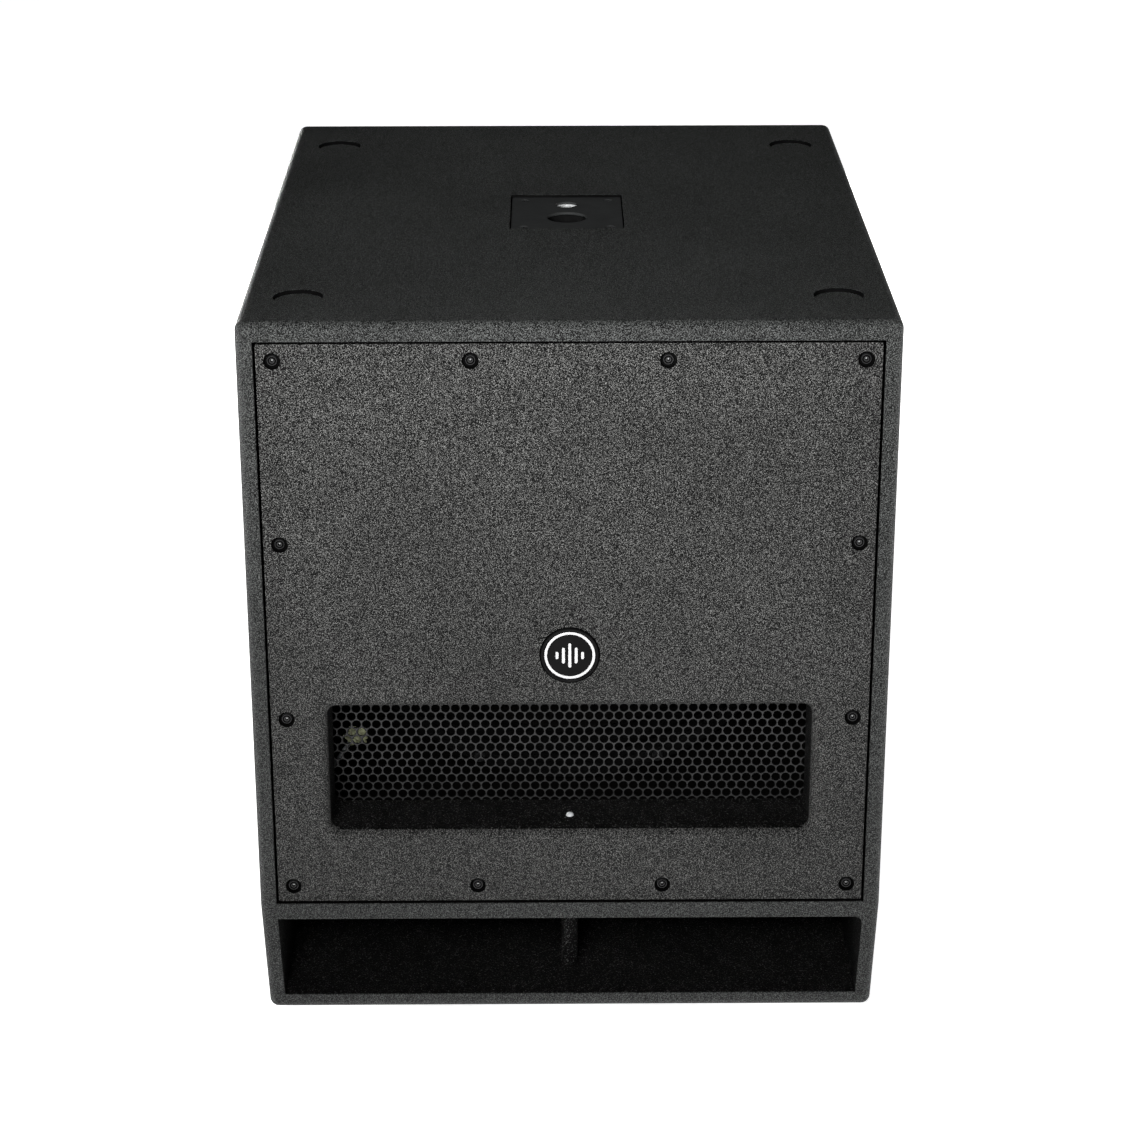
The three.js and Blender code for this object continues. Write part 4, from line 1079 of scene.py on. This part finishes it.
def signal_input(i, at):
    face = SOCKET_FACE
    ring = [(8.2, -12), (9.6, -12), (9.6, 2), (8.2, 2), (8.2, -12)]
    window = block(about(at.x, 4.2), (face - 25, face + 5), (at.z + 10.2, at.z + 14))
    hollows = (turned(ring, (at.x, at.z), 64, face), contacts(at, 4.5, [(1.5, -9), (1.5, 2)]), window)
    socket_flange(f"signal_input_{i}", at, f"xlr_input_{i}", *hollows)
    sleeve = [(1.0, -8.8), (1.38, -8.8), (1.38, -0.7), (1.0, -0.7), (1.0, -8.8)]
    make(f"input_contacts_{i}", contacts(at, 4.5, sleeve), ZINC, "latch_nickel")
    name = f"latch_tab_{i}"
    low, high = corners(name)
    tab = to_object(f"release_tab_{i}", prism(facing(low, high, 1.2, 5), low.y, high.y))
    groove_y = (high.y - 0.5, high.y + 2)
    grooves = [block((low.x - 2, high.x + 2), groove_y, about(at.z + z, 0.22)) for z in (11.4, 12.1, 12.8)]
    soften(cut(tab, merged(*grooves)), 0.2, 2, 45)
    finish_piece(tab, NICKEL, "latch_nickel", name, body=name, sharp=None)


def signal_output(i, at):
    face = SOCKET_FACE
    well = turned([(0, -14), (9.6, -14), (9.6, -0.6), (10.2, 2), (0, 2)], (at.x, at.z), 64, face)
    key_way = block(about(at.x, 1.6), (face - 13, face + 4), (at.z - 10.6, at.z - 9.0))
    socket_flange(f"signal_output_{i}", at, f"xlr_output_{i}", well, key_way)
    pin = [(0, -14.4), (1.15, -14.4), (1.15, -2.4), (0.6, -1.6), (0, -1.5)]
    make(f"output_pins_{i}", contacts(at, 4.7, pin), NICKEL, "latch_nickel")


def mains():
    floor = TRAY_FLOOR
    x, z = INLET.x, INLET.z
    flange = rounded(about(x, 25), about(z, 13), 9)
    inlet = to_object("mains_inlet_body", prism(flange, floor + 0.3, floor + 3))
    join(inlet, prism(rounded(about(x, 14), about(z, 10), 2), floor - 20, floor + 2))
    bevelled = [(-12, -8), (12, -8), (12, 3.5), (7.5, 8), (-7.5, 8), (-12, 3.5)]
    cavity = [(x + dx, z + dz) for dx, dz in bevelled]
    sinks = [rod(3.2, floor + 1.6, floor + 5, x + s * 20, z, 32) for s in (-1, 1)]
    soften(cut(inlet, prism(cavity, floor - 13, floor + 8), merged(*sinks)), 0.4, 2, 45)
    finish_piece(inlet, *PLASTIC, "mains_inlet", sharp=None)
    for i, s in enumerate((-1, 1)):
        cross_head(f"inlet_screw_{i + 1}", (x + s * 20, floor + 1.9, z), (0, 1, 0), 2.7)
    places = [(x - 7, z - 2), (x, z + 2), (x + 7, z - 2)]
    blades = [block(about(px, 1), (floor - 13.5, floor - 1.5), about(pz, 2)) for px, pz in places]
    make_soft("inlet_blades", merged(*blades), 0.4, 2, 35, NICKEL, "latch_nickel")
    x, z = ROCKER.x, ROCKER.z
    outline = rounded(about(x, 9.5), about(z, 15), 1.5)
    bezel = to_object("rocker_bezel", prism(outline, floor + 0.2, floor + 1.6))
    soften(cut(bezel, block(about(x, 6.9), (floor - 2, floor + 5), about(z, 12.4))), 0.4, 2)
    finish_piece(bezel, *PLASTIC, sharp=None)


def rocker():
    """A shallow V from the side, with a bar and a ring as its on and off marks."""
    half, end, dip, rise = 6.2, 10.4, 2.2, 4.4
    face = [(-end, rise), (-7, 3.45), (-3, 2.5), (0, dip), (3, 2.5), (7, 3.45), (end, rise)]
    section = [*face, (end, -1), (4, -8), (-4, -8), (-end, -1)]
    turn = Matrix.Translation(ROCKER) @ Matrix.Rotation(ROCKER_TURN, 4, "X")
    bm = skin([[(x, y, z) for z, y in section] for x in (-half, half)])
    bm.transform(turn)
    name = "power_rocker"
    make_soft("rocker_switch", bm, 0.5, 3, 25, *PLASTIC, name, body=name)
    slope = atan2(rise - dip, end)
    bar = block(about(0, 0.35), (0, 0.16), about(0, 1.8))
    ring = turned([(1.4, 0), (2.0, 0), (2.0, 0.16), (1.4, 0.16), (1.4, 0)], (0, 0), 32)
    for mark, way in ((bar, 1), (ring, -1)):
        lift = Matrix.Translation((0, 3.28, way * 6.2))
        mark.transform(turn @ lift @ Matrix.Rotation(-way * slope, 4, "X"))
    make("rocker_marks", merged(bar, ring), *PRINT, body=name)


def level_control():
    """A fluted dial with its pointer, and eleven ticks round it."""
    floor = TRAY_FLOOR
    x, z = KNOB.x, KNOB.z
    base, top = floor + 0.6, floor + 14.6
    levels = (
        (base, 9.9, 0.0), (base + 1.2, 9.9, 0.0), (base + 1.8, 9.6, 0.5), (top - 2.2, 9.0, 0.45),
        (top - 0.9, 8.7, 0.2), (top - 0.2, 8.2, 0.0), (top, 7.5, 0.0),
    )
    flutes, steps = 18, 144
    loops = []
    for y, radius, flute in levels:
        ring = []
        for i in range(steps):
            angle = tau * i / steps
            px, pz = around((x, z), radius - flute * (0.5 + 0.5 * cos(angle * flutes)), angle)
            ring.append((px, y, pz))
        loops.append(ring)
    name = "level_knob"
    knob = join(to_object("level_dial", skin(loops)), rod(3, floor - 9, base + 1, x, z))
    cut(knob, block(about(x, 0.6), (top - 0.9, top + 2), (z + 1.5, z + 12)))
    finish_piece(knob, *PLASTIC, name, body=name, sharp=35)
    pointer = block(about(x, 0.5), (top - 1.2, top - 0.25), (z + 1.7, z + 8.3))
    make_soft("level_pointer", pointer, 0.15, 2, 35, *PRINT, body=name)
    ticks = []
    for i in range(11):
        tick = block((11.8, 14.6 if i % 5 == 0 else 13.6), (0.1, 0.28), about(0, 0.28))
        turn = Matrix.Rotation(-radians(240 - 30 * i), 4, "Y")
        tick.transform(Matrix.Translation((x, floor, z)) @ turn)
        ticks.append(tick)
    make("level_ticks", merged(*ticks), *PRINT)


def slide_switch(label, travel):
    """A bezel, a ribbed thumb and a printed dot for each place."""
    floor, name = TRAY_FLOOR, label + "_slider"
    at = middle(name)
    outline = rounded((at.x - 5, at.x + travel + 5), about(at.z, 4), 1)
    bezel = to_object(label + "_bezel", prism(outline, floor + 0.1, floor + 0.9))
    slot = block((at.x - 2.3, at.x + travel + 2.3), (floor - 2, floor + 5), about(at.z, 1.95))
    soften(cut(bezel, slot), 0.25, 2)
    finish_piece(bezel, *PLASTIC, sharp=None)
    low, high = corners(name)
    thumb = to_object(label + "_thumb", block((low.x, high.x), (low.y, high.y), (low.z, high.z)))
    rib_y, rib_z = (high.y - 0.5, high.y + 2), (low.z - 2, high.z + 2)
    ribs = [block(about(at.x + x, 0.2), rib_y, rib_z) for x in (-0.9, 0, 0.9)]
    soften(cut(thumb, merged(*ribs)), 0.18, 2, 45)
    finish_piece(thumb, *PLASTIC, name, body=name, sharp=None)
    dot = [(0, 0.1), (0.45, 0.1), (0.45, 0.3), (0, 0.3)]
    dots = [turned(dot, (at.x + x, at.z - 6), 20, floor) for x in range(0, travel + 1, 4)]
    make(label + "_stops", merged(*dots), *PRINT)


def status_lamp(name, colour, x):
    profile = [(0, -5), (1.5, -5), (1.5, 0.5), *dome(1.5, 1.5, (20, 40, 60, 80), 0.5), (0, 2)]
    make(name, turned(profile, (x, LAMP_Z), 28, TRAY_FLOOR), LAMP_COLOURS[colour], "led_lens")


amp_panel()
for number, place in enumerate(INPUTS, 1):
    signal_input(number, place)
for number, place in enumerate(OUTPUTS, 1):
    signal_output(number, place)
mains()
rocker()
level_control()
for label, travel in SLIDERS.items():
    slide_switch(label, travel)
for number, (colour, lamp_x) in enumerate(LAMPS, 1):
    status_lamp(f"status_lamp_{number}", colour, lamp_x)

# ---------- CAD nodes whose own shape shows ----------

SHOWN = {
    "driver_baffle": PLYWOOD,
    "panel_frame": PLYWOOD,
    "amp_chassis": GALVANISED,
    "circuit_board": CIRCUIT_GREEN,
}
for cad_name, cad_material in SHOWN.items():
    cad = frame["nodes"][cad_name]
    cad.data.materials.clear()
    cad.data.materials.append(cad_material)

# ---------- leads ----------

LED = middle("power_led")
LED_ROUTE = [
    (LED.x, LED.y, 189.6), (LED.x, LED.y, 181), (-20, -326, 173), (-70, -318, 170), (-130, -312, 169),
    (-185, -304, 168), (-220, -286, 168), (-238, -250, 170), (-238, -212, 174), (-230, -186, 181),
    (-220, -175, 191), (-210, -174.5, 206), (-205.5, -173, 212.5), (-205, -166, 214), (-205, -146, 214),
    (-203, -110, 210), (-190, -40, 196), (-150, 60, 190), (-115, 140, 200), (-101, 185, 220), (-100, 200, 222),
    (-100, 214.5, 222),
]
SPEAKER_ROUTE = [
    (60, 214.5, 240), (60, 200, 240), (63, 175, 240), (88, 110, 246), (125, 40, 262), (150, -30, 285),
    (148, -72, 309), (130, -92, 324),
]


def sealant(x, y, z):
    """A hand-laid blob of sealant where the lead goes through the baffle."""
    bm = bmesh.new()
    bmesh.ops.create_icosphere(bm, subdivisions=5, radius=1)
    for vertex in bm.verts:
        way = vertex.co.normalized()
        lump = 1 + 0.18 * sin(way.x * 5 + 1) * cos(way.z * 4) + 0.1 * sin(way.x * 11 + way.z * 9)
        depth = 8.5 if way.y < 0 else 1.2
        sag = 1 - way.z
        vertex.co = (x + 2 + way.x * 10.5 * lump, y + way.y * depth * lump, z + way.z * 8 * lump - sag)
    make("lead_sealant", bm, SEALANT, "lead_jacket", sharp=None)


finish_piece(tube("indicator_lead", LED_ROUTE, 2.1), LEAD_GREY, "lead_jacket", "led_lead")
finish_piece(tube("woofer_cable", SPEAKER_ROUTE, 4), CABLE_BLACK, "cable_jacket", "speaker_cable")
sealant(-205, BAFFLE_FRONT - 1.5, 214)

# ---------- floor, light and camera ----------

WHITE = (1, 1, 1, 1)
SOFT_LIGHTS = (
    # name, place, target, size, watts, spread in degrees
    ("key", (-0.4, -2.2, 1.35), (0, -0.36, 0.85), (0.6, 0.5), 11.8, 52),
    ("left_low", (-2.6, 0.4, 0.36), (0, 0, 0.34), (1.8, 0.36), 45, 180),
    ("right_low", (2.6, 0.4, 0.36), (0, 0, 0.34), (1.8, 0.36), 36, 180),
    ("back_low", (-0.5, 2.6, 0.36), (0, 0.3, 0.34), (2.2, 0.36), 70, 180),
)


def stage():
    """A white floor that glows a little, as a lit studio sweep does."""
    floor = bmesh.new()
    bmesh.ops.create_grid(floor, x_segments=8, y_segments=8, size=30000)
    ground = to_object("studio_floor", floor)
    material, tree, place = new_material("studio_white")
    mottle = spread(tree, noise(tree, place, 900, 2.0), 0.3, 0.7, 0.925, 0.945)
    colour = node(tree, "CombineColor", Red=mottle, Green=mottle, Blue=mottle).outputs["Color"]
    inputs = {"Base_Color": colour, "Roughness": 0.9, "Emission_Color": WHITE, "Emission_Strength": 0.85}
    surface(material, 0.0, **inputs)
    ground.data.materials.append(material)


def turned_by(azimuth, elevation):
    """The way that a lamp or camera looks from an azimuth and an elevation in degrees."""
    return Matrix.Rotation(radians(azimuth), 4, "Z") @ Matrix.Rotation(radians(90 - elevation), 4, "X")


def soft_light(name, place, target, size, watts, spread_angle):
    data = bpy.data.lights.new(name, "AREA")
    data.spread = radians(spread_angle)
    data.shape = "RECTANGLE"
    data.size, data.size_y = size
    data.energy = watts
    lamp = linked(name, data)
    lamp.location = place
    lamp.rotation_euler = (Vector(target) - Vector(place)).to_track_quat("-Z", "Y").to_euler()
    lamp.visible_camera = False
    lamp.visible_glossy = name != "key"


def sun(name, azimuth, elevation, softness, strength):
    data = bpy.data.lights.new(name, "SUN")
    data.angle = radians(softness)
    data.energy = strength
    linked(name, data).matrix_world = turned_by(azimuth, elevation)


def surroundings():
    """White behind the object, and little light from there."""
    world = bpy.data.worlds.new("studio")
    bpy.context.scene.world = world
    world.use_nodes = True
    tree = world.node_tree
    dim = node(tree, "Background", Color=WHITE, Strength=0.03).outputs["Background"]
    backdrop = node(tree, "Background", Color=WHITE, Strength=1.05).outputs["Background"]
    seen = node(tree, "LightPath").outputs["Is Camera Ray"]
    chosen = node(tree, "MixShader", Fac=seen, i1=dim, i2=backdrop).outputs["Shader"]
    tree.links.new(chosen, tree.nodes["World Output"].inputs["Surface"])


def camera():
    scene = bpy.context.scene
    scene.view_settings.view_transform = "Standard"
    made = linked("camera", bpy.data.cameras.new("camera"))
    made.data.lens = 91.53
    made.data.sensor_width = 36
    roll = Matrix.Rotation(radians(-0.077), 4, "Z")
    made.matrix_world = Matrix.Translation((-0.0151, -2.6860, 1.4037)) @ turned_by(-0.379, 22.103) @ roll
    scene.camera = made


stage()
surroundings()
sun("sky", -8, 40, 30, 0.6)
for settings in SOFT_LIGHTS:
    soft_light(*settings)
camera()
